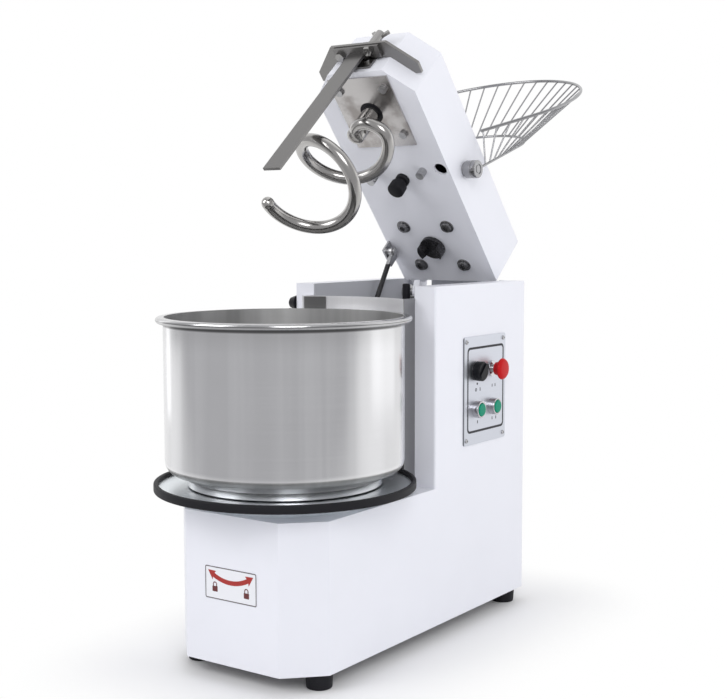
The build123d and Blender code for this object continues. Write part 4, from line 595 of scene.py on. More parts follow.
# %% [markdown]
# ## Directions of the head
# The head stands tilted up about its hinge. Three directions describe everything on it:
# across (x), along towards the tip (l) and out of its top (n). A piece could be made flat
# and turned afterwards, but its mesh has to hold its place, so places are worked out in
# these directions from the start. The guard is folded further back about its own pivot.

# %% Head and guard frames
mm = 0.001
head_up_degrees = 49.1
guard_back_degrees = 112.1
hinge_to_head_along = 23.7
hinge_to_head_out = 10.9
tilt = math.radians(head_up_degrees)
fold = tilt + math.radians(guard_back_degrees)
along = Vector((0, -math.cos(tilt), math.sin(tilt)))
out = Vector((0, math.sin(tilt), math.cos(tilt)))
hinge = Vector(joints["head_tilt"]["pos_m"])
head_start = hinge + along * hinge_to_head_along * mm + out * hinge_to_head_out * mm
pivot = Vector(joints["guard_swing"]["pos_m"])


def on_head(x, l, n):
    """A place on the head in millimetres across, along and out of it."""
    return head_start + Vector((x * mm, 0, 0)) + along * l * mm + out * n * mm


print("head starts at", [round(part, 4) for part in head_start])

# %% [markdown]
# ## From tree to plain mesh
# A geometry tree could stay live on its object, but the export keeps plain meshes only.
# So a tree is evaluated once, its result is copied to a new object, and the object with
# the modifier is thrown away. Each copy then rides on the body it belongs to.

# %% Piece helpers
def settle(piece, body, slot, *stands_for):
    """Attach the piece to its body and hide the solids it stands for; slot is not used."""
    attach(piece, body)
    if stands_for:
        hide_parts(*stands_for)
    triangles = sum(len(face.vertices) - 2 for face in piece.data.polygons)
    print(piece.name, "triangles:", triangles)
    return piece


def grown(name, data, tree, values, finish):
    """Run a geometry tree on some data and keep the result as a plain mesh."""
    seed = bpy.data.objects.new(name + "_seed", data)
    bpy.context.scene.collection.objects.link(seed)
    modifier = seed.modifiers.new(tree.name, "NODES")
    modifier.node_group = tree
    for label, value in values.items():
        socket_value(modifier, tree, label, value)
    bpy.context.view_layer.update()
    ready = seed.evaluated_get(bpy.context.evaluated_depsgraph_get())
    mesh = bpy.data.meshes.new_from_object(ready)
    bpy.data.objects.remove(seed)
    mesh.materials.clear()
    mesh.materials.append(finish)
    piece = bpy.data.objects.new(name, mesh)
    bpy.context.scene.collection.objects.link(piece)
    return piece


def finish_tree(tree, flow, shape, finish_socket):
    """Every tree ends the same way: realize the copies and set the finish."""
    real = flow.node("GeometryNodeRealizeInstances", None, {"Geometry": shape})
    end_tree(tree, flow.node("GeometryNodeSetMaterial", None, {"Geometry": real, "Material": finish_socket}))


print("piece helpers ready")

# %% [markdown]
# ## Kneading spiral
# The spiral is one round bar, bent cold round a former: it leaves the shank, swings out
# to its full radius in an eighth of its turns and then winds down at an even pitch.
# A curve drawn by hand would never run evenly. The bend is a rule, so a geometry tree can
# follow it: a straight line is resampled, every point is moved to its place on the rule,
# and a circle is swept along. The end is turned to a dome by closing the radius over the
# last few millimetres.

# %% Spiral tree
spiral_along = 411
spiral_top = on_head(0, spiral_along, 0)
bar_points = 420
first_share = 0.02
tip_share = 0.02
spiral_inputs = {
    "Radius": ("NodeSocketFloat", 0.067),
    "Rod": ("NodeSocketFloat", 0.0112),
    "Start depth": ("NodeSocketFloat", 0.0666),
    "Entry drop": ("NodeSocketFloat", 0.0005),
    "Depth": ("NodeSocketFloat", 0.277),
    "Start angle": ("NodeSocketFloat", math.radians(84)),
    "Turn": ("NodeSocketFloat", math.radians(649)),
    "Entry share": ("NodeSocketFloat", 0.125),
    "Finish": ("NodeSocketMaterial", None),
}
spiral_tree, sp, sp_in = new_tree("kneading_spiral", spiral_inputs)
line = sp.node("GeometryNodeCurvePrimitiveLine")
path = sp.node("GeometryNodeResampleCurve", None, {"Curve": line, "Count": bar_points})
share = first_share + (1 - first_share) * sp.node("GeometryNodeSplineParameter")
entry = sp.sum_node("SMOOTH_MIN", share / sp_in["Entry share"], 1.0, 0.2)
run = sp.sum_node("SMOOTH_MAX", (share - sp_in["Entry share"]) / (1 - sp_in["Entry share"]), 0.0, 0.1)
angle = sp_in["Start angle"] - sp_in["Turn"] * share
reach = sp_in["Radius"] * entry
depth = sp_in["Start depth"] + sp_in["Entry drop"] * entry
depth = depth + (sp_in["Depth"] - sp_in["Start depth"] - sp_in["Entry drop"]) * run
across = reach * sp.sum_node("COSINE", angle)
forward = reach * sp.sum_node("SINE", angle)
local = sp.node("ShaderNodeCombineXYZ", None, {"X": across, "Y": 0.0 - forward, "Z": 0.0 - depth})
turned = sp.node("ShaderNodeVectorRotate", {"rotation_type": "X_AXIS"}, {"Vector": local, "Angle": -tilt})
spot = sp.vector("ADD", turned, tuple(spiral_top))
bent = sp.node("GeometryNodeSetPosition", None, {"Geometry": path, "Position": spot})
left_over = sp.node("GeometryNodeSplineParameter", output=1)
total = sp.node("GeometryNodeSplineLength")
to_end = (total - left_over) / sp_in["Rod"]
dome = sp.sum_node("SQRT", 1.0 - sp.sum_node("POWER", 1.0 - sp.sum_node("MINIMUM", to_end, 1.0), 2.0))
ring = sp.node("GeometryNodeCurvePrimitiveCircle", None, {"Resolution": 28, "Radius": sp_in["Rod"]})
closing = tip_share + (1 - tip_share) * dome
swept = {"Curve": bent, "Profile Curve": ring, "Scale": closing, "Fill Caps": True}
bar = sp.node("GeometryNodeCurveToMesh", None, swept)
smooth_bar = sp.node("GeometryNodeSetShadeSmooth", None, {"Geometry": bar})
finish_tree(spiral_tree, sp, smooth_bar, sp_in["Finish"])
print("spiral tree:", len(spiral_tree.nodes), "nodes")

# %% [markdown]
# ## Shank of the spiral
# The bar is welded into a round shank with a cross pin, which the head's shaft holds. Both
# are turned: a profile of (distance along the axis, radius) in millimetres goes round the
# axis. Blender's own spin tool would do, but it leaves doubled corners at the poles, so a
# short helper makes one corner there.

# %% Spiral
spiral_seed = bpy.data.meshes.new("spiral_seed")
spiral = grown("kneading_spiral", spiral_seed, spiral_tree, {"Finish": spiral_steel}, spiral_steel)
right = Vector((1, 0, 0))


def add_lathe(mesh, profile, start, axis, steps=48):
    """Add a turned shape to a mesh: profile points are (distance along axis, radius) in mm."""
    side = axis.orthogonal().normalized()
    other = axis.cross(side)
    rows = []
    for length, radius in profile:
        centre = start + axis * (length * mm)
        if radius == 0:
            rows.append([mesh.verts.new(centre)] * steps)
            continue
        row = []
        for step in range(steps):
            turn = 2 * math.pi * step / steps
            spoke = side * math.cos(turn) + other * math.sin(turn)
            row.append(mesh.verts.new(centre + spoke * (radius * mm)))
        rows.append(row)
    for low, high in zip(rows, rows[1:]):
        for step in range(steps):
            after = (step + 1) % steps
            corners = []
            for corner in (low[step], low[after], high[after], high[step]):
                if corner not in corners:
                    corners.append(corner)
            if len(corners) > 2:
                mesh.faces.new(corners).smooth = True


def sharpen(data, degrees=32):
    """Keep folds crisp on a mesh that is otherwise smooth."""
    for face in data.polygons:
        face.use_smooth = True
    data.set_sharp_from_angle(angle=math.radians(degrees))


shank_profile = [(8, 0), (8, 15), (9, 16), (70, 16), (73, 14.8), (75, 12.5), (76, 9), (76, 0)]
pin_profile = [(-20, 0), (-20, 3.2), (-19.2, 4), (19.2, 4), (20, 3.2), (20, 0)]
pin_drop = 58
shank = bmesh.new()
shank.from_mesh(spiral.data)
add_lathe(shank, shank_profile, spiral_top, -out)
add_lathe(shank, pin_profile, on_head(0, spiral_along, -pin_drop), right, 24)
shank.to_mesh(spiral.data)
shank.free()
sharpen(spiral.data)
settle(spiral, "spiral", "stainless", "spiral_hook")

# %% [markdown]
# ## Wire guard
# The guard keeps hands out of the bowl. Two bent rods carry thirty-seven straight wires,
# spot welded at both ends. The rods come first, as open curves: a straight arm, an arc
# and a straight arm. Each is given by where its arm starts, and by the centre and the
# radius of its arc, in millimetres from the pivot.

# %% Guard rods
def arm_turn(x, s, centre, radius):
    """The angle on the arc of a rod at which a straight arm runs into it."""
    reach = math.hypot(x, s - centre)
    return math.atan2(s - centre, x) + math.acos(radius / reach)


def rod_points(x, s, centre, radius, steps=64):
    """One rod from arm to arm, as points (across, away from the pivot)."""
    start = arm_turn(x, s, centre, radius)
    points = [(x, s)]
    for step in range(steps + 1):
        turn = start + (math.pi - 2 * start) * step / steps
        points.append((radius * math.cos(turn), centre + radius * math.sin(turn)))
    points.append((-x, s))
    return points


def guard_place(x, s, drop, rise):
    """A place on the guard, with the inner rod turned up a little more than the outer."""
    turn = fold + math.radians(rise)
    ahead = Vector((0, -math.cos(turn), math.sin(turn)))
    above = Vector((0, math.sin(turn), math.cos(turn)))
    return pivot + Vector((x, 0, 0)) * mm + ahead * s * mm - above * drop * mm


outer_rod = {"shape": rod_points(118, 60, 266, 206), "drop": 56, "rise": 0, "thick": 3.0}
inner_rod = {"shape": rod_points(132, 14, 188, 118), "drop": 0, "rise": 3.2, "thick": 2.5}
rods = bpy.data.curves.new("guard_rods", "CURVE")
rods.dimensions = "3D"
for rod in (outer_rod, inner_rod):
    spline = rods.splines.new("POLY")
    spline.points.add(len(rod["shape"]) - 1)
    for point, (x, s) in zip(spline.points, rod["shape"]):
        point.co = (*guard_place(x, s, rod["drop"], rod["rise"]), 1)
        point.radius = rod["thick"] * mm
print("guard rods:", len(rods.splines), "curves")

# %% [markdown]
# ## Wires of the guard
# Thirty-seven wires could be set one by one, but their ends follow from the rods. A tree
# samples both rods at even shares, sets a wire between each pair of points and a small
# weld bead at each end, and sweeps the rods themselves to tubes. A change to a rod then
# moves every wire with it.

# %% Guard tree
outer_margin = 0.004
inner_margin = 0.03
outer_bead = (1.08, 1.08, 1.08)
inner_bead = (1.0, 1.0, 1.0)
guard_inputs = {
    "Wires": ("NodeSocketInt", 37),
    "Wire": ("NodeSocketFloat", 0.0016),
    "Bead": ("NodeSocketFloat", 0.0026),
    "Finish": ("NodeSocketMaterial", None),
}
guard_tree, gd, gd_in = new_tree("wire_guard", guard_inputs)
places = gd.node("GeometryNodeMeshLine", None, {"Count": gd_in["Wires"]})
even = gd.node("GeometryNodeInputIndex") / (gd_in["Wires"] - 1.0)


def along_rod(number, margin):
    """The place of every wire's end on one of the two rods."""
    inputs = {"Curves": gd_in["Geometry"], "Curve Index": number, "Factor": margin + (1 - 2 * margin) * even}
    return gd.node("GeometryNodeSampleCurve", {"mode": "FACTOR", "use_all_curves": False}, inputs, 1)


outer_end = along_rod(0, outer_margin)
inner_end = along_rod(1, inner_margin)
span = gd.vector("SUBTRACT", inner_end, outer_end)
middle = gd.vector("MULTIPLY_ADD", span, (0.5, 0.5, 0.5), outer_end)
aim = gd.node("FunctionNodeAlignRotationToVector", {"axis": "Z"}, {"Vector": span})
stretch = gd.node("ShaderNodeCombineXYZ", None, {"X": 1.0, "Y": 1.0, "Z": gd.length(span)})
unit_wire = gd.node("GeometryNodeMeshCylinder", None, {"Vertices": 12, "Radius": gd_in["Wire"], "Depth": 1.0})
bead = gd.node("GeometryNodeMeshIcoSphere", None, {"Radius": gd_in["Bead"], "Subdivisions": 2})


def set_out(spot, shape, more):
    """A copy of one shape for every wire, at a place worked out from the rods."""
    points = gd.node("GeometryNodeSetPosition", None, {"Geometry": places, "Position": spot})
    return gd.node("GeometryNodeInstanceOnPoints", None, {"Points": points, "Instance": shape, **more})


wires = set_out(middle, unit_wire, {"Rotation": aim, "Scale": stretch})
outer_beads = set_out(outer_end, bead, {"Scale": outer_bead})
inner_beads = set_out(inner_end, bead, {"Scale": inner_bead})
rod_ring = gd.node("GeometryNodeCurvePrimitiveCircle", None, {"Resolution": 16, "Radius": 1.0})
rod_size = gd.node("GeometryNodeInputRadius")
swept = {"Curve": gd_in["Geometry"], "Profile Curve": rod_ring, "Scale": rod_size, "Fill Caps": True}
tubes = gd.node("GeometryNodeCurveToMesh", None, swept)
joined = gd.tree.nodes.new("GeometryNodeJoinGeometry")
for part in (tubes, wires, outer_beads, inner_beads):
    gd.tree.links.new(part.socket, joined.inputs[0])
finish_tree(guard_tree, gd, Flow(guard_tree, joined.outputs[0]), gd_in["Finish"])
print("guard tree:", len(guard_tree.nodes), "nodes")

# %% Guard
guard = grown("wire_guard", rods, guard_tree, {"Finish": wire_chrome}, wire_chrome)
sharpen(guard.data, 50)
settle(guard, "guard", "chrome", "guard_rings", "guard_wires")

# %% [markdown]
# ## Flat marks
# Printed marks lie on a sheet almost without thickness. They could be part of the sheet's
# finish, but a thin plate that stands a tenth of a millimetre proud has a real edge, keeps
# it from any distance and can ride on a body like any piece. An outline is a list of
# points in millimetres; a second outline with as many points makes it a ring.

# %% Flat shapes
def rounded_outline(width, height, corner, steps=6):
    """A rectangle with round corners, about its middle."""
    points = []
    for number, (u, v) in enumerate(((1, 1), (-1, 1), (-1, -1), (1, -1))):
        for step in range(steps + 1):
            turn = math.pi / 2 * (number + step / steps)
            across = u * (width / 2 - corner) + corner * math.cos(turn)
            points.append((across, v * (height / 2 - corner) + corner * math.sin(turn)))
    return points


def circle_outline(radius, steps=24):
    """A circle about its middle."""
    turns = [2 * math.pi * step / steps for step in range(steps)]
    return [(radius * math.cos(turn), radius * math.sin(turn)) for turn in turns]


def add_flat(mesh, outline, place, low, high, hole=None, shift=(0, 0)):
    """Add a thin plate to a mesh; place turns (u, v, height) into a point."""
    def loop(points, level):
        return [mesh.verts.new(place(u + shift[0], v + shift[1], level)) for u, v in points]

    top, foot = loop(outline, high), loop(outline, low)
    edges = [(top, foot)]
    count = len(outline)
    if hole:
        edges.append((loop(hole, high), loop(hole, low)))
        for this in range(count):
            after = (this + 1) % count
            for outer, inner in zip(edges[0], edges[1]):
                mesh.faces.new((outer[this], outer[after], inner[after], inner[this]))
    else:
        mesh.faces.new(top)
        mesh.faces.new(foot)
    for upper, lower in edges:
        for this in range(count):
            after = (this + 1) % count
            mesh.faces.new((upper[this], lower[this], lower[after], upper[after]))


def close_mesh(name, mesh, finish):
    """Turn a worked mesh into an object with its faces pointing outwards."""
    bmesh.ops.remove_doubles(mesh, verts=mesh.verts, dist=1e-7)
    bmesh.ops.recalc_face_normals(mesh, faces=mesh.faces)
    data = bpy.data.meshes.new(name)
    mesh.to_mesh(data)
    mesh.free()
    data.materials.append(finish)
    piece = bpy.data.objects.new(name, data)
    bpy.context.scene.collection.objects.link(piece)
    return piece


print("flat shapes ready")

# %% [markdown]
# ## Control panel
# The panel is a brushed plate with a printed dark frame. Small marks beside the controls
# are only a ring, bars and dots, as on any switch. All of it is one ink, so the marks are
# one mesh of flat shapes, each given by its middle on the panel.

# %% Panel marks
# One dark ink for the printed marks, also used for the painted shade of the screw slots.
ink_grey = cast("ink_grey", (0.020, 0.020, 0.026), 0.6, 0.0, 900.0, 0.02)
panel_face = 156
panel_middle_y = 88.166
panel_middle_z = 434
ink_foot = -0.2
ink_top = 0.1
frame_top = 0.12


def on_panel(u, v, height):
    """A place on the panel from its middle: towards the back, up and off its face."""
    return Vector((panel_face + height, panel_middle_y + u, panel_middle_z + v)) * mm


frame_line = rounded_outline(133.4, 157.4, 9.2)
frame_inside = rounded_outline(125.6, 149, 6)
long_bar = rounded_outline(2.4, 6.4, 0.5)
short_bar = rounded_outline(2.4, 5.6, 0.6)
marks = bmesh.new()
add_flat(marks, frame_line, on_panel, ink_foot, frame_top, frame_inside, (2.7, 1))
add_flat(marks, circle_outline(3.2), on_panel, ink_foot, ink_top, circle_outline(1.6), (-33, 0.7))
add_flat(marks, long_bar, on_panel, ink_foot, ink_top, None, (-18, 0.7))
add_flat(marks, circle_outline(2.2), on_panel, ink_foot, ink_top, None, (-28.5, 11.7))
for bar_middle in ((26.6, 3.5), (37.5, 3.5), (-27, -59), (27, -58), (41, -58)):
    add_flat(marks, short_bar, on_panel, ink_foot, ink_top, None, bar_middle)
settle(close_mesh("panel_marks", marks, ink_grey), "frame", "black_plastic")

# %% [markdown]
# ## Stop button
# The stop button is a mushroom that a palm can hit: a stem, a neck, a narrow skirt and a
# wide domed head. It could be built from stacked cylinders, but the soft edge of the head
# is what catches the light, so it is turned from one profile of (height over the panel,
# radius) in millimetres.

# %% Stop button
stop_u = 25.5
stop_v = 35.5
stop_profile = [
    (-10, 0), (-10, 7.2), (9.3, 7.2), (9.3, 11.8), (14, 12.8), (14.4, 13.4), (18.4, 14.2), (19.6, 15.4),
    (20.3, 18), (20.9, 19.4), (21.8, 19.9), (23.6, 19.4), (25.4, 18.3), (26.8, 16.7), (27.6, 15), (28, 12.8),
    (28, 0),
]


def turned_piece(name, profile, seats, finish, steps, crisp):
    """One profile turned at every seat, a pair of start and axis, as one piece."""
    mesh = bmesh.new()
    for start, axis in seats:
        add_lathe(mesh, profile, start, axis, steps)
    piece = close_mesh(name, mesh, finish)
    sharpen(piece.data, crisp)
    return piece


stop_seat = (on_panel(stop_u, stop_v, 0), right)
stop_piece = turned_piece("turned_stop", stop_profile, [stop_seat], stop_red, 64, 40)
settle(stop_piece, "emergency_stop", "red_plastic", "stop_button")

# %% [markdown]
# ## Pictogram plate
# The plate on the front shows how the bowl is unlocked and locked: a curved arrow with
# two heads between two padlocks. Such a drawing could be a picture, but a picture blurs up
# close and would have to be carried along. Worked out from a few arcs it stays sharp, and
# every colour is a flat piece of its own.

# %% Pictogram plate
sign_white = painted("sign_white", (0.80, 0.81, 0.85), 0.34, 700.0)
sign_red = cast("sign_red", (0.38, 0.022, 0.018), 0.4, 0.0, 900.0, 0.02)
sign_dark = cast("sign_dark", (0.13, 0.026, 0.028), 0.4, 0.0, 900.0, 0.02)
sign_rim = cast("sign_rim", (0.13, 0.115, 0.125), 0.4, 0.0, 900.0, 0.02)
sign_back = -449.834
sign_middle_z = 160
sign_thick = 1
print_foot = 0.8
rim_top = 1.1
print_top = 1.12


def on_sign(u, v, height):
    """A place on the plate from its middle: right, up and off the body's front."""
    return Vector((u, sign_back - height, sign_middle_z + v)) * mm


plate = bmesh.new()
add_flat(plate, rounded_outline(108, 54, 3), on_sign, 0, sign_thick)
settle(close_mesh("sign_plate", plate, sign_white), "frame", "aluminium", "label_plate")
rim = bmesh.new()
rim_inside = rounded_outline(104, 50, 1.4)
add_flat(rim, rounded_outline(107.4, 53.4, 2.8), on_sign, print_foot, rim_top, rim_inside)
settle(close_mesh("sign_rim", rim, sign_rim), "frame", "black_plastic")

# %% Arrow and padlocks
arrow_centre_v = 82
arrow_middle = 78
arrow_half = 3.8
barb_half = 8.5
shaft_turn = 27
barb_turn = 26
tip_turn = 37.5
shackle_outer = 4.4
shackle_inner = 2.6
shackle_foot = -4
shackle_up = 7.5


def arc_points(radius, first, last, steps=16):
    """Points on an arc that hangs below its centre, by degrees from straight down."""
    turns = [math.radians(first + (last - first) * step / steps) for step in range(steps + 1)]
    return [(radius * math.sin(turn), arrow_centre_v - radius * math.cos(turn)) for turn in turns]


def arrow_point(radius, degrees):
    """One corner of an arrow head, as a list to join to others."""
    return arc_points(radius, degrees, degrees, 1)[:1]


def half_ring(radius, turns):
    """The round top of a padlock's shackle."""
    return [(radius * math.cos(turn), radius * math.sin(turn)) for turn in turns]


lower = arrow_middle + arrow_half
upper = arrow_middle - arrow_half
lower_barb = arrow_middle + barb_half
upper_barb = arrow_middle - barb_half
shape = arc_points(lower, -shaft_turn, shaft_turn)
shape += arrow_point(lower_barb, barb_turn) + arrow_point(arrow_middle, tip_turn)
shape += arrow_point(upper_barb, barb_turn) + arc_points(upper, shaft_turn, -shaft_turn)
shape += arrow_point(upper_barb, -barb_turn) + arrow_point(arrow_middle, -tip_turn)
shape += arrow_point(lower_barb, -barb_turn)
arrow = bmesh.new()
add_flat(arrow, shape, on_sign, print_foot, print_top)
settle(close_mesh("sign_arrow", arrow, sign_red), "frame", "red_plastic")
turns = [math.pi * step / 10 for step in range(11)]
shackle = [(shackle_outer, shackle_foot)] + half_ring(shackle_outer, turns)
shackle += [(-shackle_outer, shackle_foot), (-shackle_inner, shackle_foot)]
shackle += half_ring(shackle_inner, reversed(turns)) + [(shackle_inner, shackle_foot)]
lock_case = rounded_outline(11, 9, 1.2)
locks = bmesh.new()
for lock_u, lock_v in ((-33, -10), (33, -12)):
    add_flat(locks, lock_case, on_sign, print_foot, print_top, None, (lock_u, lock_v))
    add_flat(locks, shackle, on_sign, print_foot, print_top, None, (lock_u, lock_v + shackle_up))
settle(close_mesh("sign_locks", locks, sign_dark), "frame", "red_plastic")

# %% [markdown]
# ## Guard hubs
# The guard's arms end in two hubs that swing on pivot pins. A plain cylinder would look
# like a stub of bar. Each hub is turned instead, as on the lathe: two rounded shoulders, a
# shallow groove and a bore for the pin. The same profile serves both sides.

# %% Guard hubs
hub_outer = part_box("guard_hubs")[1].x
hub_length = 25
hub_profile = [
    (0, 7.2), (0, 14.8), (0.7, 16.1), (1.8, 16.5), (14.5, 16.5), (15.1, 15.7), (16.1, 15.7), (16.7, 16.5),
    (23.4, 16.5), (24.5, 15.9), (25, 14.6), (25, 9.6), (23.6, 9.2), (23.6, 7.2), (0, 7.2),
]
hub_inner = hub_outer - hub_length * mm
hub_seats = []
for side in (-1, 1):
    hub_seats.append((Vector((side * hub_inner, pivot.y, pivot.z)), Vector((side, 0, 0))))
hub_piece = turned_piece("turned_hubs", hub_profile, hub_seats, wire_chrome, 64, 32)
settle(hub_piece, "guard", "chrome", "guard_hubs")

# %% [markdown]
# ## Rubber bumper
# The head comes down on a bumper of moulded rubber: a foot, a waist that lets it give and
# a blunt head. It is round, so the lathe helper makes it too, hanging from the head's
# underside. Rubber has no sharp edge, so only steep corners stay crisp.

# %% Rubber bumper
bumper_along = 257.6
bumper_profile = [
    (0, 0), (0, 13.4), (6.6, 13.4), (7.6, 12.4), (8.2, 9), (16.8, 9), (17.6, 14.4), (18.6, 15.8), (34, 16),
    (36, 15), (37, 12.8), (37, 0),
]
bumper_seat = (on_head(0, bumper_along, 0), -out)
bumper_piece = turned_piece("turned_bumper", bumper_profile, [bumper_seat], black_rubber, 48, 50)
settle(bumper_piece, "head", "black_rubber", "head_bumper")

# %% [markdown]
# ## Flanged bolts
# Four socket bolts hold the coupling's bearing under the head. One bolt is turned with a
# flange and a round hole, and the hole's corners are then pulled in to six sides; cutting
# a six-sided hole out of a solid head would leave thin faces. The bolts are alike, so a
# tree sets a copy at each corner of a square.

# %% One bolt
bolt_profile = [
    (-22, 0), (-22, 6), (0, 6), (0, 14), (1.4, 14), (2.2, 13.2), (2.4, 11.2), (6, 10.8), (7, 9.8), (7, 6),
    (3, 6), (3, 0),
]
socket_radius = 6 * mm
side_turn = math.pi / 3
bolt = bmesh.new()
add_lathe(bolt, bolt_profile, Vector((0, 0, 0)), Vector((0, 0, 1)))
for corner in bolt.verts:
    if corner.co.z > 0 and corner.co.xy.length < socket_radius * 1.01:
        part_turn = math.atan2(corner.co.y, corner.co.x) % side_turn - side_turn / 2
        pull = math.cos(side_turn / 2) / math.cos(part_turn)
        corner.co.x *= pull
        corner.co.y *= pull
one_bolt = close_mesh("one_bolt", bolt, bolt_steel)
print("one bolt:", len(one_bolt.data.polygons), "faces")

# %% Flanged bolts
coupling_along = 92
bolt_spread = 49
corner_signs = [(a, b) for a in (-1, 1) for b in (-1, 1)]
copy_inputs = {
    "Piece": ("NodeSocketObject", None),
    "Turn": ("NodeSocketRotation", None),
    "Finish": ("NodeSocketMaterial", None),
}
copy_tree, cp, cp_in = new_tree("copies", copy_inputs)
model = cp.node("GeometryNodeObjectInfo", None, {"Object": cp_in["Piece"]}, "Geometry")
copies = {"Points": cp_in["Geometry"], "Instance": model, "Rotation": cp_in["Turn"]}
finish_tree(copy_tree, cp, cp.node("GeometryNodeInstanceOnPoints", None, copies), cp_in["Finish"])
bolt_points = [on_head(bolt_spread * a, coupling_along + bolt_spread * b, 0) for a, b in corner_signs]
bolt_seed = bpy.data.meshes.new("bolt_points")
bolt_seed.from_pydata(bolt_points, [], [])
bolt_values = {"Piece": one_bolt, "Turn": (math.pi - tilt, 0, 0), "Finish": bolt_steel}
bolts = grown("flanged_bolts", bolt_seed, copy_tree, bolt_values, bolt_steel)
bpy.data.objects.remove(one_bolt)
sharpen(bolts.data)
settle(bolts, "head", "steel", "housing_bolts")

# %% [markdown]
# ## Slots in the screws
# The panel and the rear cover are held by cross-head screws. Cutting a cross into every
# head would add many faces for a mark this small, so a tree sets one dark cross on every
# screw, painted shade in place of the recess: the screws are loose points, and two flat
# boxes make the cross.

# %% Cross slots
slot_inputs = {
    "Length": ("NodeSocketFloat", 0.0046),
    "Width": ("NodeSocketFloat", 0.0011),
    "Height": ("NodeSocketFloat", 0.0003),
    "Turn": ("NodeSocketRotation", None),
    "Finish": ("NodeSocketMaterial", None),
}
slot_tree, sl, sl_in = new_tree("cross_slots", slot_inputs)
arms = sl.tree.nodes.new("GeometryNodeJoinGeometry")
for first, second in (("Length", "Width"), ("Width", "Length")):
    sides = {"X": sl_in[first], "Y": sl_in[second], "Z": sl_in["Height"]}
    arm_size = sl.node("ShaderNodeCombineXYZ", None, sides)
    sl.tree.links.new(sl.node("GeometryNodeMeshCube", None, {"Size": arm_size}).socket, arms.inputs[0])
cross = Flow(slot_tree, arms.outputs[0])
spots = {"Points": sl_in["Geometry"], "Instance": cross, "Rotation": sl_in["Turn"]}
finish_tree(slot_tree, sl, sl.node("GeometryNodeInstanceOnPoints", None, spots), sl_in["Finish"])


def slots_at(name, points, turn):
    """A dark cross of painted shade at every point, all turned the same way."""
    seed = bpy.data.meshes.new(name + "_points")
    seed.from_pydata(points, [], [])
    piece = grown(name, seed, slot_tree, {"Turn": turn, "Finish": ink_grey}, ink_grey)
    return settle(piece, "frame", "black_plastic")


screw_top = 1.95
panel_screw_u = 67
panel_screw_v = 90
rear_screw_x = 118
rear_screw_z = 228
rear_middle_z = 330
panel_slot_turn = (0.3, math.pi / 2, 0)
rear_slot_turn = (math.pi / 2, 0.4, 0)
rear_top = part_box("rear_cover")[1].y + screw_top * mm
panel_points = [on_panel(panel_screw_u * a, panel_screw_v * b, screw_top) for a, b in corner_signs]
slots_at("panel_slots", panel_points, panel_slot_turn)
rear_spots = [(rear_screw_x * a, rear_middle_z + rear_screw_z * b) for a, b in corner_signs]
rear_points = [Vector((x * mm, rear_top, z * mm)) for x, z in rear_spots]
slots_at("rear_slots", rear_points, rear_slot_turn)

# %% [markdown]
# ## Wear plate on the cover
# At its left end the concave cover carries a small plate of darker steel. A flat plate
# would cut into the cover. The cover is a piece of a drum about the bowl's axis, so the
# plate is built as a row of thin slices that turn about the same axis.

# %% Wear plate
wear_steel = brushed("wear_steel", (0.20, 0.20, 0.20), 0.36, upright_grain)
wear_first = -29.2
wear_sweep = 10.6
wear_steps = 12
wear_back = 221.3
wear_front = 219.7
wear_low = 579
wear_high = 606
wear_slice = ((wear_back, wear_low), (wear_back, wear_high), (wear_front, wear_high), (wear_front, wear_low))
wear = bmesh.new()
rows = []
for step in range(wear_steps + 1):
    turn = math.radians(wear_first + wear_sweep * step / wear_steps)
    row = []
    for radius, level in wear_slice:
        back = bowl_axis_y + radius * mm * math.cos(turn)
        row.append(wear.verts.new((radius * mm * math.sin(turn), back, level * mm)))
    rows.append(row)
for before, after in zip(rows, rows[1:]):
    for this in range(len(wear_slice)):
        beside = (this + 1) % len(wear_slice)
        wear.faces.new((before[this], before[beside], after[beside], after[this]))
wear.faces.new(rows[0])
wear.faces.new(rows[-1])
wear_piece = close_mesh("cover_wear_plate", wear, wear_steel)
sharpen(wear_piece.data)
settle(wear_piece, "frame", "stainless")

# %% [markdown]
# ## Floor
# The machine stands on a pale sheet. White made with more light would also bleach the
# machine, so the sheet itself fades: close to the base it is a plain surface that keeps a
# soft shadow, and further away what the camera and mirrors see of it is an even white.
# In mirrors it turns grey towards the camera's side, as the floor of a real studio does.

# %% Floor
floor_half = 6
base_middle = (0, -0.103, 0)
base_half = (0.154, 0.347, 0)
fade_width = 0.26
front_way = (0.30, -0.954, 0)
front_reach = (-0.2, 1.2)
white = (1, 1, 1, 1)
floor_corners = [(u * floor_half, v * floor_half, 0) for u, v in ((-1, -1), (1, -1), (1, 1), (-1, 1))]
floor_mesh = bpy.data.meshes.new("studio_floor")
floor_mesh.from_pydata(floor_corners, [], [(0, 1, 2, 3)])
floor = bpy.data.objects.new("studio_floor", floor_mesh)
bpy.context.scene.collection.objects.link(floor)


def ray(flow, name):
    """One for rays of one kind, otherwise nothing."""
    return flow.node("ShaderNodeLightPath", output="Is " + name + " Ray")


def direct_view(flow):
    """One for rays from the camera or by way of a mirror or glass, otherwise nothing."""
    camera_ray, mirror_ray, glass_ray = (ray(flow, name) for name in ("Camera", "Glossy", "Transmission"))
    return flow.sum_node("MINIMUM", camera_ray + mirror_ray + glass_ray, 1.0)


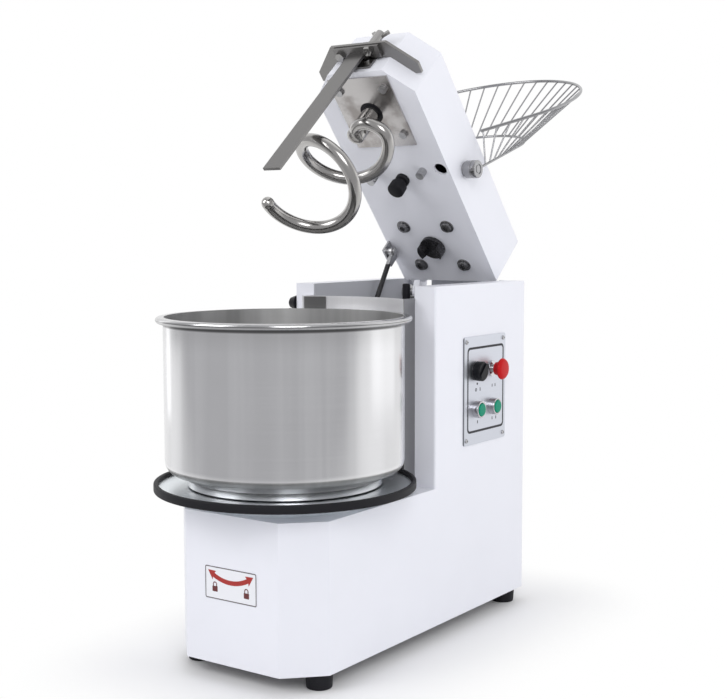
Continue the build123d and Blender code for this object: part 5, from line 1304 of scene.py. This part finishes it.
floor_finish = bpy.data.materials.new("studio_floor")
floor_finish.use_nodes = True
floor_tree = floor_finish.node_tree
floor_shader = floor_tree.nodes["Principled BSDF"]
floor_shader.inputs["Base Color"].default_value = (0.86, 0.86, 0.87, 1)
floor_shader.inputs["Roughness"].default_value = 0.6
fl = Flow(floor_tree)
floor_place = fl.node("ShaderNodeTexCoord", output=3)
from_base = fl.vector("ABSOLUTE", fl.vector("SUBTRACT", floor_place, base_middle))
past_base = fl.vector("MAXIMUM", fl.vector("SUBTRACT", from_base, base_half), (0, 0, 0))
fade = between(fl, fl.length(past_base), 0.0, fade_width)
front = between(fl, fl.dot(floor_place, front_way), *front_reach)
shown = fl.blend(front * ray(fl, "Glossy"), white, (0.55, 0.55, 0.56, 1))
glow = fl.node("ShaderNodeEmission", None, {"Color": shown, "Strength": 1.0})
plain = Flow(floor_tree, floor_shader.outputs[0])
both = fl.node("ShaderNodeMixShader", None, {0: fade * direct_view(fl), 1: plain, 2: glow})
floor_tree.links.new(both.socket, floor_tree.nodes["Material Output"].inputs[0])
floor_mesh.materials.append(floor_finish)
print("floor:", 2 * floor_half, "m wide")

# %% [markdown]
# ## Room
# Polished steel shows the room, so the room is half of the bowl's look. A picture of a
# studio could be wrapped round the scene, but this one needs only two tones: a white
# sweep behind the machine and a dimmer space on the camera's side. The camera itself sees
# plain white, and mirrors see a slightly lighter front than the one that lights.

# %% World
sweep_way = (-0.22, 0.96, 0.16)
sweep_edge = (0.06, 0.40)
front_light = (0.50, 0.50, 0.51, 1)
front_mirrored = (0.56, 0.56, 0.57, 1)
world = bpy.data.worlds.new("studio")
bpy.context.scene.world = world
world.use_nodes = True
wt = Flow(world.node_tree)
looking = wt.node("ShaderNodeTexCoord", output=0)
sweep = between(wt, wt.dot(looking, sweep_way), *sweep_edge)
lit_room = wt.blend(sweep, front_light, white)
mirrored_room = wt.blend(sweep, front_mirrored, white)
backdrop = wt.blend(ray(wt, "Camera"), mirrored_room, white)
sky = wt.blend(direct_view(wt), lit_room, backdrop)
background = world.node_tree.nodes["Background"]
sky.into(background, "Color")
background.inputs["Strength"].default_value = 1.0
print("world:", world.name)

# %% [markdown]
# ## Lamps
# Two large softboxes in front, left and right of the camera, give the machine its form,
# and four weak ones lift the sides and edges. Small lamps would do too, but they draw hard
# shadows and bright spots on steel. The lamp at the right flank is hidden from mirrors, so
# that it doesn't show as a square in the bowl.

# %% Lamps
def softbox(name, place, target, size, power):
    """A rectangular lamp at a place that faces a target."""
    data = bpy.data.lights.new(name, "AREA")
    data.shape = "RECTANGLE"
    data.size = size[0]
    data.size_y = size[1]
    data.energy = power
    lamp = bpy.data.objects.new(name, data)
    bpy.context.scene.collection.objects.link(lamp)
    lamp.location = place
    lamp.rotation_euler = (Vector(target) - Vector(place)).to_track_quat("-Z", "Y").to_euler()
    return lamp


machine = (0, 0, 0.55)
softbox("key_box", (-1.5, -2.6, 2.2), machine, (1.8, 1.8), 35)
softbox("fill_box", (2.2, -2.6, 2.2), machine, (1.6, 1.6), 40)
softbox("side_box", (1.6, 1.9, 0.8), machine, (1.9, 1.7), 3)
softbox("edge_box", (-2.6, 0.1, 1.0), machine, (0.5, 2.0), 2)
softbox("top_box", (0.2, 0.0, 3.0), machine, (1.8, 1.8), 3)
flank = softbox("flank_box", (2.7, 0.4, 1.2), machine, (1.5, 1.5), 9)
flank.visible_glossy = False
